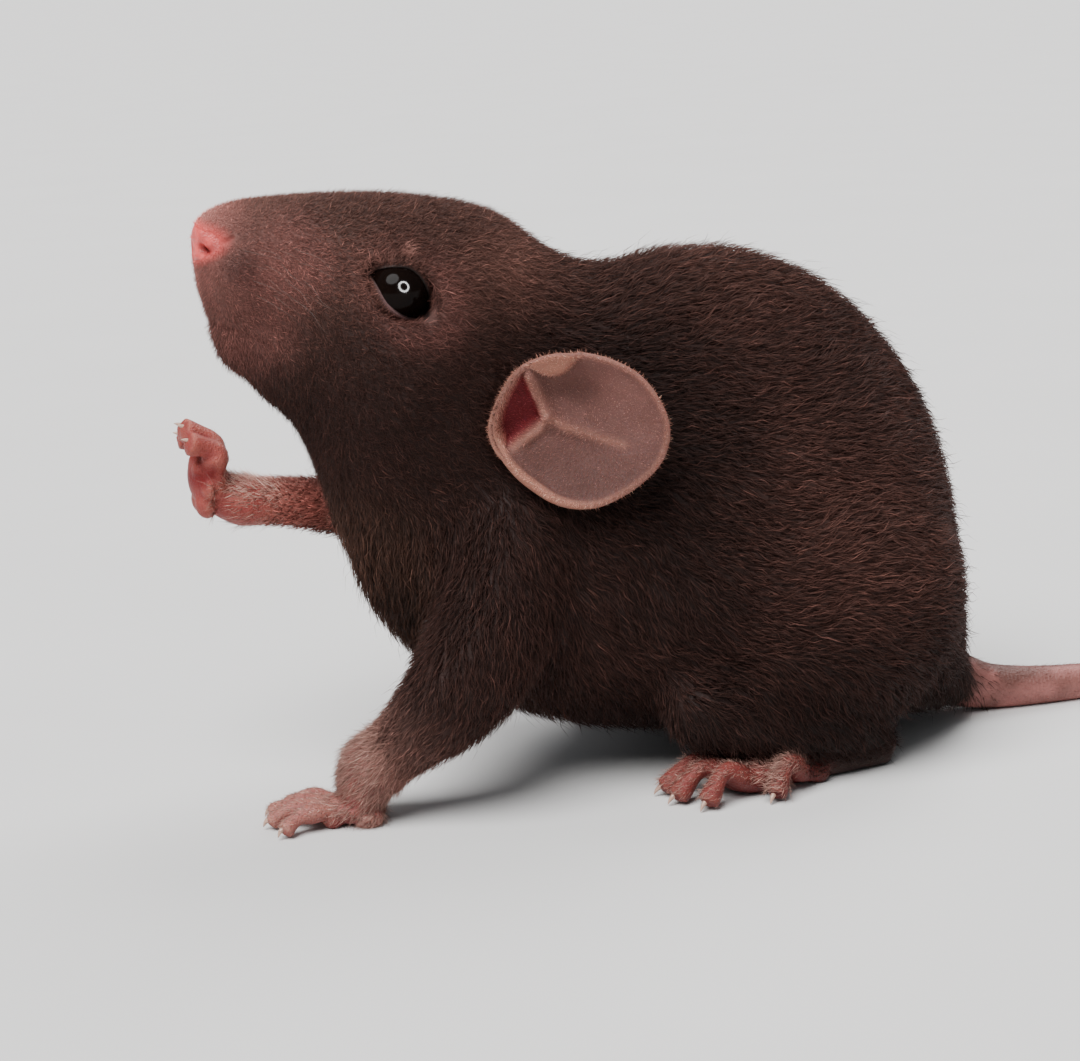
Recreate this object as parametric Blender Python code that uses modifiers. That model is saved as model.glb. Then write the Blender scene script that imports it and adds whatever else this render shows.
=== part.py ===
"""A young dumbo rat, life size, sitting up on its haunches with one fore paw raised.

The rat faces -X with +Z up, and its left side is at -Y. Sizes and places below are in
millimetres, and they are turned into metres as they enter Blender. The floor is at z = 0.
"""

import math

import bmesh
import bpy
import numpy as np
from mathutils import Matrix, Vector
from mathutils.bvhtree import BVHTree

MM = 0.001

# The cuts that part one node from the next, and the play round each eyeball.
GAP = 0.3

# The coat and the skin: colour, roughness.
COAT_BROWN = ((0.045, 0.034, 0.031), 0.75)
PAW_PINK = ((0.56, 0.27, 0.23), 0.5)
EAR_PINK = ((0.42, 0.23, 0.19), 0.6)
TAIL_PINK = ((0.36, 0.2, 0.19), 0.6)
EYE_BLACK = ((0.004, 0.004, 0.005), 0.06)

# Sections of the body, from the nose to the root of the tail. Each is a closed ring that runs
# from its top to its bottom point in the side view: name, (x, z) of the top, (x, z) of the
# bottom, half width, y of the middle, and how much wider the lower half is than the upper.
BODY_SECTIONS = (
    ("nose", (-33.9, 56.9), (-34.0, 53.7), 1.5, 5.4, 0.0),
    ("nose back", (-32.6, 58.7), (-33.3, 50.6), 2.7, 5.2, -0.1),
    ("upper lip", (-29.8, 59.5), (-31.9, 46.4), 3.8, 4.8, -0.2),
    ("whisker pads", (-26.2, 59.8), (-30.3, 42.7), 4.9, 4.2, -0.25),
    ("muzzle", (-21.2, 59.9), (-28.7, 39.9), 6.2, 3.4, -0.2),
    ("eyes", (-15.6, 59.7), (-26.3, 37.8), 7.8, 2.4, -0.05),
    ("cheeks", (-10.2, 58.9), (-25.0, 35.2), 9.2, 1.4, 0.1),
    ("back of head", (-4.8, 57.3), (-24.2, 32.6), 9.9, 0.6, 0.15),
    ("nape", (0.8, 53.4), (-23.5, 29.0), 10.0, 0.2, 0.1),
    ("withers", (6.0, 51.9), (-22.4, 24.5), 10.4, 0.0, 0.1),
    ("shoulders", (11.5, 52.7), (-20.0, 18.0), 11.6, 0.0, 0.1),
    ("chest", (17.5, 52.6), (-14.0, 11.2), 13.6, 0.0, 0.15),
    ("belly", (23.5, 51.0), (-4.0, 5.8), 16.2, 0.0, 0.2),
    ("loin", (29.5, 47.6), (8.0, 3.6), 18.6, 0.0, 0.25),
    ("haunch", (35.0, 42.1), (18.0, 3.6), 19.6, 0.0, 0.3),
    ("rump", (39.2, 34.8), (26.5, 3.0), 18.4, 0.0, 0.3),
    ("seat", (41.2, 25.6), (33.0, 2.2), 15.2, 0.0, 0.25),
    ("under the tail", (41.9, 13.6), (38.5, 1.4), 9.6, 0.0, 0.1),
    ("root of the tail", (43.6, 6.2), (43.2, 0.6), 3.4, 0.0, 0.0),
)
RING_POINTS = 40
RINGS_PER_SECTION = 5

# Rounded masses of flesh on the body: centre, radii, for the left side at -Y.
# The y of each is measured from the middle of the head or body there.
LEFT, RIGHT = -1.0, 1.0
FLESH_PAIRS = (
    # whisker pad
    ((-28.6, 3.3, 51.6), (4.4, 2.7, 4.2), 4.6),
    # brow and the ring of muscle that carries the eye
    ((-15.7, 5.6, 50.4), (5.2, 2.9, 4.4), 2.45),
    # cheek
    ((-13.5, 6.6, 42.5), (8.5, 4.4, 7.6), 1.6),
)
CHIN = ((-29.6, 4.8, 45.0), (2.4, 2.6, 3.0))
THIGH = ((24.0, 13.2, 17.4), (14.5, 8.3, 14.0))
THIGH_TILT = -25.0
SHIN = ((9.2, 14.8, 8.8, 4.5), (19.0, 15.0, 5.2, 3.5), (27.0, 14.0, 3.8, 2.7))

# Fore legs, each row x, y, z, radius from the shoulder to the wrist.
LEFT_ARM = (
    (-6.5, -8.6, 26.5, 6.4),
    (-9.8, -10.4, 19.0, 6.6),
    (-13.6, -11.4, 13.2, 6.0),
    (-18.6, -10.6, 8.6, 4.0),
    (-22.4, -9.2, 5.3, 2.9),
)
RIGHT_ARM = (
    (-6.5, 8.6, 26.5, 6.2),
    (-13.0, 10.6, 25.8, 5.0),
    (-19.5, 10.0, 27.0, 3.6),
    (-25.0, 8.8, 28.4, 2.9),
    (-30.2, 8.2, 29.2, 2.5),
)

# Which row of a fore leg is the elbow and which is the wrist.
ELBOW, WRIST = 2, 4

# Each fore paw: the way it points, the way its back faces, the middle of the palm, the reach
# of its fingers, and how far knuckle, middle joint and tip lie towards the back.
LEFT_HAND = ((-0.95, 0.3, 0.0), (0.0, 0.0, 1.0), (-24.9, -8.3, 1.65), 0.76, (0.8, 1.2, -0.4))
RIGHT_HAND = ((-0.1, 0.0, 1.0), (1.0, 0.0, 0.1), (-32.9, 8.2, 31.7), 0.64, (0.7, 0.7, -1.5))

# The neck lies between two bent cuts across the body, each a line of x, z.
NECK_FRONT = (
    (3.5, 62.0),
    (-0.5, 54.0),
    (-1.5, 45.0),
    (-3.0, 38.0),
    (-8.0, 33.5),
    (-16.0, 32.0),
    (-30.0, 33.5),
)
NECK_BACK = (
    (9.0, 60.0),
    (6.5, 51.0),
    (5.0, 42.0),
    (2.0, 33.0),
    (-5.0, 26.5),
    (-15.0, 24.5),
    (-30.0, 24.0),
)

NECK_CUT_REACH = (-30.0, 30.0)

# The cut that parts the thigh from the shank, from the knee back to above the heel.
KNEE_CUT = (18.0, 14.0, 9.6)
KNEE_CUT_WAY = (0.27, 0.0, 1.0)
KNEE_CUT_REACH = 26.0
ARM_CUT_REACH = 12.0

# A place on each piece of the cut head, body and flesh, by which it gets its name.
LEG_PLACES = {
    "thigh": (24.0, 21.0, 22.0),
    "shank": (9.0, 15.0, 6.0),
}
BODY_PLACES = {
    "head": (-10.0, 0.0, 60.0),
    "neck": (3.0, 0.0, 53.0),
    "torso": (30.0, 0.0, 48.0),
}
HEAD_PLACES = {
    "head": (-2.0, 0.0, 50.0),
    "nose": (-35.4, 5.3, 55.6),
    "lower_jaw": (-31.0, 4.8, 44.0),
}
FLESH_PLACES = {
    "body": (30.0, 0.0, 48.0),
    "arm_left": (-11.6, -17.5, 11.6),
    "arm_right": (-32.0, 8.2, 29.5),
    "leg_left": (24.0, -21.0, 17.4),
    "leg_right": (24.0, 21.0, 17.4),
    "tail_1": (57.0, -1.0, 3.6),
    "tail_2": (78.0, 2.5, 2.9),
    "tail_3": (98.0, 6.3, 2.5),
    "tail_4": (118.0, 2.0, 1.5),
}

# The four fingers of a fore paw, from the inner one outwards: how far its knuckle lies across
# the palm, the knuckle's reach, the middle joint's and the tip's, and how far the tip strays.
FINGERS = (
    (-1.9, 2.6, 5.2, 7.0, -1.9),
    (-0.7, 3.3, 6.4, 8.6, -0.8),
    (0.7, 3.2, 6.2, 8.3, 0.7),
    (1.9, 2.3, 4.8, 6.4, 2.3),
)
FINGER_RADIUS = 0.85

# The palm, its two wrist pads and the stub of a thumb: place along, across and above the
# middle of the palm, then radii.
PALM_RADII = (3.1, 2.6, 1.6)
WRIST_PADS = (((-2.0, -1.2, -0.7), (1.4, 1.15, 1.0)), ((-2.0, 1.2, -0.7), (1.4, 1.15, 1.0)))
THUMB = ((-0.6, -2.5, -0.4), (1.1, 0.9, 0.8))
HEEL_OF_HAND_RADIUS = 1.8

# A claw, from inside the tip of its digit to its own tip: along, above, radius.
CLAW = ((0.1, 0.1, 0.43), (1.2, 0.2, 0.36), (1.7, -0.15, 0.14))
TOE_CLAW_SCALE = 1.25
CLAW_FLATTENING = 0.75

# How a digit starts: how far behind its knuckle, and at what share of the knuckle's spread.
DIGIT_ROOT = (2.5, 0.8)

# The five toes of a hind foot, from the inner one outwards, in the same terms, measured
# from the ball of the foot.
TOES = (
    (-2.2, -3.2, -0.6, 1.4, -2.2),
    (-1.6, 2.0, 5.6, 8.6, -1.7),
    (-0.1, 2.4, 6.0, 8.8, -0.2),
    (1.4, 1.8, 4.9, 7.2, 1.4),
    (2.2, -3.8, -1.4, 0.6, 2.2),
)
TOE_RADIUS = 1.05
TOE_RISE = (-0.1, 0.3, -0.6)

# A hind foot from its heel: the sole and the ankle as rows of along, above and radius.
HEEL = (29.0, 12.8, 1.7)
FOOT_TURN_OUT = 10.0
FOOT_LENGTH_TO_BALL = 14.5
SOLE = ((0.0, 0.0, 1.9), (7.0, 0.2, 2.1), (14.5, 0.0, 2.0))
ANKLE = ((-0.4, 0.0, 1.7), (2.6, 1.4, 2.2), (7.6, 3.4, 2.3))
BALL_RADII = (4.4, 3.0, 1.9)

# The tail lies on the floor: x, y, z and radius of its middle line.
TAIL_LINE = (
    (38.0, 0.0, 5.0, 1.8),
    (42.0, -0.1, 3.8, 2.9),
    (47.0, -0.4, 2.3, 2.35),
    (55.0, -1.0, 1.8, 1.95),
    (66.0, -0.4, 1.6, 1.72),
    (80.0, 3.0, 1.42, 1.54),
    (94.0, 6.0, 1.22, 1.34),
    (108.0, 5.6, 0.98, 1.1),
    (118.0, 2.0, 0.68, 0.8),
    (126.0, -3.6, 0.43, 0.55),
)
TAIL_CUTS = (46.5, 68.0, 88.0, 107.0)
TAIL_CUT_MARGIN = 2.5

# What rests on the floor is shaved level there, by a block this deep.
ON_THE_FLOOR = ("foot_left", "foot_right", "hand_left", "tail_1", "tail_2", "tail_3", "tail_4")
FLOOR_BLOCK = ((45.0, 0.0, -4.0), (240.0, 120.0, 8.0))

# Eyes: an eyeball on each side under a thin dome of lid, and the teardrop between the lids,
# given by its half length, half height, the reach of its front corner and its slope.
EYE_CENTRE = (-15.7, 6.5, 50.4)
EYE_Y_MIDDLE = 2.45
EYE_RADIUS = 3.1
EYE_PLAY = 0.12
LID_THICKNESS = 0.5
LID_OPENING = (2.75, 2.1)
LID_CORNER = 0.7
LID_TILT = 35.0
LID_CUT_REACH = (0.8, 7.0)

# The line of the mouth in the side view, from in front of the lips to the corner, and then
# down behind the chin, where the lower jaw is parted from the throat.
MOUTH_LINE = (
    (-37.0, 49.0),
    (-33.0, 48.4),
    (-30.6, 47.3),
    (-28.0, 45.9),
    (-26.9, 44.4),
    (-27.3, 42.0),
    (-28.6, 38.0),
)
MOUTH_CUT_REACH = (-6.0, 16.0)

# The lips: a slim roll along each side of the mouth line, and how far its middle is above or
# below that line. The rows of the mouth line from LIP_ROWS on run from its front to its corner.
LIP_RADIUS = 0.42
LIP_RISE = 0.6
LIP_ROWS = slice(1, 5)
LIP_SINK = 0.12
MUZZLE_MIDDLE_Y = 4.9

# The naked pad at the tip of the nose, and each nostril as a comma on its surface: how far
# out from the middle of the nose, and how high.
NOSE_PAD = ((-32.3, 5.3, 55.4), (3.5, 3.4, 3.0))
NOSTRIL = ((0.6, 55.0), (1.1, 54.7), (1.6, 54.9), (2.0, 55.6))
NOSTRIL_RADIUS = 0.4

# Ears: a thin round cup that stands out from the side of the head on a short funnel.
EAR_MIDDLE = (-0.9, 15.5, 37.5)
EAR_LENGTH_WAY = (0.9, 0.43, 0.0)
EAR_UP_WAY = (0.05, 0.02, 1.0)
EAR_BLADE_RADIUS = 7.5
EAR_ROOT_REACH = 10.0
EAR_CUP_DEPTH = 2.5
EAR_FUNNEL_DEPTH = 4.0
EAR_FUNNEL_RADIUS = 3.1
EAR_FUNNEL_AT = (-6.6, -0.3)
EAR_THICKNESS = 0.6
EAR_AROUND = 26
EAR_RING_SHARES = (0.0, 0.22, 0.42, 0.58, 0.72, 0.86, 1.0)
EAR_ROOT_NARROWING = 3
EAR_FUNNEL_FADE = 4.0
EAR_RECESS = 2.5

# The block that cuts a limb square, and the sides of the disc that parts it.
SLICE_DEPTH = 30.0
SLAB_SIDES = 20

# How far outside the model the rays that find its skin start.
FAR_OFF = 60.0

# Faceting: fineness of the fused flesh, and the triangles that each fused form keeps.
FLESH_VOXEL = 0.5
FLESH_TRIANGLES = 5600
FLESH_SMOOTHING = 14
KEPT_SHARE = 0.6


def clear_scene():
    for obj in list(bpy.data.objects):
        bpy.data.objects.remove(obj, do_unlink=True)


def new_collection(name):
    made = bpy.data.collections.new(name)
    bpy.context.scene.collection.children.link(made)
    return made


def material(name, looks):
    """A Principled material from (colour, roughness)."""
    colour, roughness = looks
    made = bpy.data.materials.new(name)
    made.use_nodes = True
    shader = made.node_tree.nodes["Principled BSDF"]
    shader.inputs["Base Color"].default_value = (*colour, 1.0)
    shader.inputs["Roughness"].default_value = roughness
    shader.inputs["Metallic"].default_value = 0.0
    return made


def through(rows, per_gap):
    """Points of the smooth Catmull-Rom curve through the rows, per_gap of them to each gap."""
    rows = np.asarray(rows, float)
    ends = np.vstack([2 * rows[0] - rows[1], rows, 2 * rows[-1] - rows[-2]])
    t = np.linspace(0.0, 1.0, per_gap, endpoint=False)[:, None]
    pieces = []
    for a, b, c, d in zip(ends, ends[1:], ends[2:], ends[3:]):
        pieces.append(
            b
            + 0.5 * (c - a) * t
            + (a - 2.5 * b + 2.0 * c - 0.5 * d) * t**2
            + (1.5 * b - 0.5 * a - 1.5 * c + 0.5 * d) * t**3
        )
    pieces.append(rows[-1:])
    return np.vstack(pieces)


def object_of(name, mesh):
    made = bpy.data.objects.new(name, mesh)
    workshop.objects.link(made)
    return made


def mesh_from_bmesh(name, form):
    bmesh.ops.recalc_face_normals(form, faces=form.faces)
    mesh = bpy.data.meshes.new(name)
    form.to_mesh(mesh)
    form.free()
    return object_of(name, mesh)


def remove(*objects):
    for obj in objects:
        bpy.data.objects.remove(obj, do_unlink=True)


def ellipsoid(name, centre, radii, segments=24, rings=16, turn=None):
    """A UV sphere stretched to three radii."""
    form = bmesh.new()
    bmesh.ops.create_uvsphere(form, u_segments=segments, v_segments=rings, radius=MM)
    place = Matrix.Translation(Vector(centre) * MM)
    if turn is not None:
        place = place @ turn.to_4x4()
    bmesh.ops.transform(
        form, matrix=place @ Matrix.Diagonal((*radii, 1.0)), verts=form.verts
    )
    return mesh_from_bmesh(name, form)


def tube(name, rows, bevel_resolution=4, per_gap=4, domed_start=False, dome=(0.5, 1.0, 1.4)):
    """A round limb along the smooth path through rows of x, y, z, radius, with domed ends."""
    path = through(rows, per_gap)
    domes = []
    for end, before in ((path[0], path[1]), (path[-1], path[-2])):
        way = end[:3] - before[:3]
        way /= np.linalg.norm(way)
        r = end[3]
        domes.append([(*(end[:3] + way * r * math.sin(a)), r * math.cos(a)) for a in dome])
    start = [domes[0][::-1]] if domed_start else []
    path = np.vstack([*start, path, *domes[1:]] if dome else [path])
    curve = bpy.data.curves.new(name, "CURVE")
    curve.dimensions = "3D"
    curve.bevel_depth = MM
    curve.bevel_resolution = bevel_resolution
    curve.use_fill_caps = True
    spline = curve.splines.new("POLY")
    spline.points.add(len(path) - 1)
    for point, (x, y, z, r) in zip(spline.points, path):
        point.co = (x * MM, y * MM, z * MM, 1.0)
        point.radius = r
    return meshed(object_of(name, curve))


def meshed(curve_object):
    """A mesh object in place of a curve object, with its caps welded on."""
    bpy.context.view_layer.update()
    graph = bpy.context.evaluated_depsgraph_get()
    mesh = bpy.data.meshes.new_from_object(curve_object.evaluated_get(graph))
    name = curve_object.name
    curve = curve_object.data
    remove(curve_object)
    bpy.data.curves.remove(curve)
    form = bmesh.new()
    form.from_mesh(mesh)
    bpy.data.meshes.remove(mesh)
    bmesh.ops.remove_doubles(form, verts=form.verts, dist=0.02 * MM)
    return mesh_from_bmesh(name, form)


def ring_grid(name, rings):
    """A closed skin over equal rings of points, with a fan of faces at each end."""
    form = bmesh.new()
    count = len(rings[0])
    loops = [[form.verts.new(Vector(p) * MM) for p in ring] for ring in rings]
    for near, far in zip(loops, loops[1:]):
        for i in range(count):
            j = (i + 1) % count
            form.faces.new((near[i], near[j], far[j], far[i]))
    form.faces.new(loops[0])
    form.faces.new(loops[-1])
    return mesh_from_bmesh(name, form)


def body_ring(top_x, top_z, bottom_x, bottom_z, half_width, middle_y, pear):
    """An ellipse from the top point to the bottom point, with its lower half widened by pear."""
    angle = np.arange(RING_POINTS) * 2 * math.pi / RING_POINTS
    up, side = np.cos(angle), np.sin(angle)
    x = (top_x + bottom_x) / 2 + (top_x - bottom_x) / 2 * up
    z = (top_z + bottom_z) / 2 + (top_z - bottom_z) / 2 * up
    y = middle_y + half_width * side * (1 - pear * up)
    return np.stack([x, y, z], axis=1)


def body_core():
    """The body from the nose to the root of the tail, as one loft through its sections."""
    rows = [(*top, *bottom, width, y, pear) for _, top, bottom, width, y, pear in BODY_SECTIONS]
    rings = [body_ring(*row) for row in through(rows, RINGS_PER_SECTION)]
    return ring_grid("body_core", rings)


def mirrored(rows, side):
    return [(x, side * y, z, r) for x, y, z, r in rows]


def thigh(side, grow=0.0):
    (x, y, z), radii = THIGH
    turn = Matrix.Rotation(math.radians(THIGH_TILT), 3, "Y")
    return ellipsoid("thigh", (x, side * y, z), [r + grow for r in radii], 20, 14, turn)


def flesh_forms():
    """Every soft form that runs into the next without a seam."""
    forms = [body_core(), ellipsoid("chin", *CHIN)]
    for (x, y, z), radii, middle in FLESH_PAIRS:
        for side in (LEFT, RIGHT):
            forms.append(ellipsoid("pad", (x, middle + side * y, z), radii))
    for side in (LEFT, RIGHT):
        forms.append(thigh(side))
        forms.append(tube("shin", mirrored(SHIN, side), domed_start=True))
    forms.append(tube("arm", LEFT_ARM, domed_start=True))
    forms.append(tube("arm", RIGHT_ARM, domed_start=True))
    return forms


def gather(name, objects):
    """One mesh object that holds all of these, which are removed."""
    form = bmesh.new()
    for obj in objects:
        form.from_mesh(obj.data)
    remove(*objects)
    return mesh_from_bmesh(name, form)


def frozen(obj):
    """The object with its modifiers worked into its mesh."""
    bpy.context.view_layer.update()
    graph = bpy.context.evaluated_depsgraph_get()
    mesh = bpy.data.meshes.new_from_object(obj.evaluated_get(graph))
    obj.modifiers.clear()
    obj.data = mesh
    return obj


def fused(name, objects, voxel, smoothing, triangles):
    """The objects melted into one skin, smoothed where they meet, in about so many triangles."""
    whole = gather(name, objects)
    remesh = whole.modifiers.new("melt", "REMESH")
    remesh.mode = "VOXEL"
    remesh.voxel_size = voxel * MM
    smooth = whole.modifiers.new("smooth", "SMOOTH")
    smooth.factor = 0.5
    smooth.iterations = smoothing
    frozen(whole)
    facets = whole.modifiers.new("facets", "DECIMATE")
    facets.ratio = triangles / (2.0 * len(whole.data.polygons))
    facets.use_collapse_triangulate = True
    return frozen(whole)


def combine(obj, others, operation):
    """One Boolean of the object with a collection of closed meshes, which are then removed."""
    held = bpy.data.collections.new("operands")
    bpy.context.scene.collection.children.link(held)
    for other in others:
        workshop.objects.unlink(other)
        held.objects.link(other)
    boolean = obj.modifiers.new("boolean", "BOOLEAN")
    boolean.operation = operation
    boolean.operand_type = "COLLECTION"
    boolean.collection = held
    boolean.solver = "EXACT"
    frozen(obj)
    remove(*others)
    bpy.data.collections.remove(held)
    return obj


def shells_of(obj):
    """The separate closed surfaces of a mesh, as lists of face indices, largest first."""
    form = bmesh.new()
    form.from_mesh(obj.data)
    form.faces.ensure_lookup_table()
    seen = set()
    shells = []
    for face in form.faces:
        if face.index in seen:
            continue
        seen.add(face.index)
        found, edge_of_it = [], [face]
        while edge_of_it:
            here = edge_of_it.pop()
            found.append(here.index)
            for edge in here.edges:
                for near in edge.link_faces:
                    if near.index not in seen:
                        seen.add(near.index)
                        edge_of_it.append(near)
        shells.append(found)
    form.free()
    return sorted(shells, key=len, reverse=True)


def parted(obj, names_at):
    """Splits an object that cuts have severed, and names the piece that is nearest each place.

    Scraps that no name claims are dropped.
    """
    points = np.array([v.co for v in obj.data.vertices]) / MM
    polygons = obj.data.polygons
    shells = [s for s in shells_of(obj) if len(s) > 12]
    corners = [points[sorted({v for f in s for v in polygons[f].vertices})] for s in shells]
    made = {}
    for name, place in names_at.items():
        away = [np.linalg.norm(c - np.array(place), axis=1).min() for c in corners]
        faces = shells[int(np.argmin(away))]
        form = bmesh.new()
        form.from_mesh(obj.data)
        form.faces.ensure_lookup_table()
        kept = set(faces)
        others = [f for f in form.faces if f.index not in kept]
        bmesh.ops.delete(form, geom=others, context="FACES")
        mesh = bpy.data.meshes.new(name)
        form.to_mesh(mesh)
        form.free()
        made[name] = object_of(name, mesh)
    remove(obj)
    return made


def largest(obj):
    """The object with only its largest closed surface kept."""
    shells = shells_of(obj)
    form = bmesh.new()
    form.from_mesh(obj.data)
    form.faces.ensure_lookup_table()
    kept = set(shells[0])
    bmesh.ops.delete(form, geom=[f for f in form.faces if f.index not in kept], context="FACES")
    form.to_mesh(obj.data)
    form.free()
    return obj


def thinned(obj):
    """The object with the crowded facets that its cuts left evened out."""
    if obj.name.startswith(("eye", "ear")):
        return obj
    facets = obj.modifiers.new("facets", "DECIMATE")
    facets.ratio = KEPT_SHARE
    facets.use_collapse_triangulate = True
    return frozen(obj)


def hollow(obj):
    """A closed form turned into a thin shell of one gap's thickness, to cut round it."""
    shell = obj.modifiers.new("shell", "SOLIDIFY")
    shell.thickness = GAP * MM
    shell.offset = 1.0
    return frozen(obj)


def slab(name, middle, normal, radius):
    """A thin disc across a limb or the body."""
    form = bmesh.new()
    bmesh.ops.create_cone(
        form,
        cap_ends=True,
        segments=SLAB_SIDES,
        radius1=radius * MM,
        radius2=radius * MM,
        depth=GAP * MM,
    )
    turn = Vector((0.0, 0.0, 1.0)).rotation_difference(Vector(normal)).to_matrix().to_4x4()
    place = Matrix.Translation(Vector(middle) * MM) @ turn
    bmesh.ops.transform(form, matrix=place, verts=form.verts)
    return mesh_from_bmesh(name, form)


def arm_way(rows, index):
    """The way a fore leg runs at one of its rows."""
    after = np.array(rows[min(index + 1, len(rows) - 1)][:3])
    return unit(after - np.array(rows[index - 1][:3]))


def eye_place(side):
    x, y, z = EYE_CENTRE
    return (x, EYE_Y_MIDDLE + side * y, z)


def teardrop(side):
    """The opening between the lids, as a prism that runs outward from inside the eyeball."""
    x, y, z = eye_place(side)
    tilt = math.radians(LID_TILT)
    form = bmesh.new()
    near, far = [], []
    count = 26
    for i in range(count):
        angle = 2 * math.pi * i / count
        length = LID_OPENING[0] + LID_CORNER * max(0.0, math.cos(angle)) ** 8
        a = length * math.cos(angle)
        b = LID_OPENING[1] * math.sin(angle)
        forward = a * math.cos(tilt) + b * math.sin(tilt)
        up = a * math.sin(tilt) - b * math.cos(tilt)
        for loop, reach in zip((near, far), LID_CUT_REACH):
            loop.append(form.verts.new(Vector((x - forward, y + side * reach, z + up)) * MM))
    for i in range(count):
        j = (i + 1) % count
        form.faces.new((near[i], near[j], far[j], far[i]))
    form.faces.new(near)
    form.faces.new(far)
    return mesh_from_bmesh("teardrop", form)


def eye_ball(name, side, radius, segments=20, rings=12):
    return ellipsoid(name, eye_place(side), (radius,) * 3, segments, rings)


def sheet(line, near_y, far_y):
    """A thin bent sheet that crosses the body from side to side along a line of x, z."""
    form = bmesh.new()
    near, far = [], []
    for x, z in through(line, 4):
        near.append(form.verts.new(Vector((x, near_y, z)) * MM))
        far.append(form.verts.new(Vector((x, far_y, z)) * MM))
    for i in range(len(near) - 1):
        form.faces.new((near[i], near[i + 1], far[i + 1], far[i]))
    made = mesh_from_bmesh("sheet", form)
    wall = made.modifiers.new("wall", "SOLIDIFY")
    wall.thickness = GAP * MM
    wall.offset = 0.0
    return frozen(made)


def lip(surface, rise):
    """A slim roll round the muzzle from one corner of the mouth to the other, on its skin."""
    line = [(x, z + rise) for x, z in through(MOUTH_LINE[LIP_ROWS], 2)]
    rows = {}
    for side in (LEFT, RIGHT):
        rows[side] = []
        for x, z in line:
            start = Vector((x, MUZZLE_MIDDLE_Y + side * FAR_OFF, z)) * MM
            hit = surface.ray_cast(start, Vector((0.0, -side, 0.0)), FAR_OFF * MM)[0]
            if hit is not None:
                x_hit, y_hit, z_hit = hit / MM
                rows[side].append((x_hit, y_hit - side * LIP_SINK, z_hit, LIP_RADIUS))
    front = Vector((-FAR_OFF, MUZZLE_MIDDLE_Y, line[0][1])) * MM
    x, y, z = surface.ray_cast(front, Vector((1.0, 0.0, 0.0)))[0] / MM
    return tube("lip", [*rows[LEFT][::-1], (x + LIP_SINK, y, z, LIP_RADIUS), *rows[RIGHT]], 1, 2)


def nostril_cutter(side, surface):
    """A comma-shaped groove on the surface of the nose."""
    middle = NOSE_PAD[0][1]
    rows = []
    for out, z in NOSTRIL:
        start = Vector((-FAR_OFF, middle + side * out, z)) * MM
        hit = surface.ray_cast(start, Vector((1.0, 0.0, 0.0)))[0]
        rows.append((*(hit / MM), NOSTRIL_RADIUS))
    return tube("nostril", rows, 2, 3)


def cut_head(head, surface):
    """Parts the nose pad and the lower jaw from the head, and sets the eyes under their lids."""
    combine(head, [lip(surface, rise) for rise in (LIP_RISE, -LIP_RISE)], "UNION")
    pad = hollow(ellipsoid("pad", *NOSE_PAD, 16, 10))
    combine(head, [pad, sheet(MOUTH_LINE, *MOUTH_CUT_REACH)], "DIFFERENCE")
    parts = parted(head, HEAD_PLACES)
    head = parts["head"]
    lids = EYE_RADIUS + EYE_PLAY + LID_THICKNESS
    combine(head, [eye_ball("lids", side, lids, 24, 16) for side in (LEFT, RIGHT)], "UNION")
    cutters = []
    for name, side in (("eye_left", LEFT), ("eye_right", RIGHT)):
        cutters += [eye_ball("socket", side, EYE_RADIUS + EYE_PLAY), teardrop(side)]
        parts[name] = eye_ball(name, side, EYE_RADIUS)
    largest(combine(head, cutters, "DIFFERENCE"))
    nostrils = [nostril_cutter(side, surface) for side in (LEFT, RIGHT)]
    largest(combine(parts["nose"], nostrils, "DIFFERENCE"))
    return parts


def unit(v):
    v = np.array(v, float)
    return v / np.linalg.norm(v)


def digit(base, way, across, up, sizes, radius, drop):
    """Rows of one finger or toe: root, knuckle, middle joint and tip."""
    spread, knuckle, middle, tip, stray = sizes
    back, share = DIGIT_ROOT
    root = base + way * (knuckle - back) + across * spread * share + up * drop[0]
    first = base + way * knuckle + across * spread + up * drop[0]
    second = base + way * middle + across * (spread + stray * 0.5) + up * drop[1]
    last = base + way * tip + across * (spread + stray) + up * drop[2]
    return [(*root, radius), (*first, radius * 1.05), (*second, radius), (*last, radius * 0.85)]


def claw(rows, up, scale=1.0):
    """A small hooked claw that grows out of the last joint of a digit."""
    start = np.array(rows[-1][:3])
    way = start - np.array(rows[-2][:3])
    way = unit(way - CLAW_FLATTENING * up * (way @ up))
    points = [(*(start + way * along * scale + up * above), r) for along, above, r in CLAW]
    return tube("claw", points, 1, 1, dome=())


def one_solid(name, forms):
    """The forms fused into one closed solid."""
    first = forms.pop(0)
    combine(first, forms, "UNION")
    first.name = name
    return largest(first)


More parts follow.
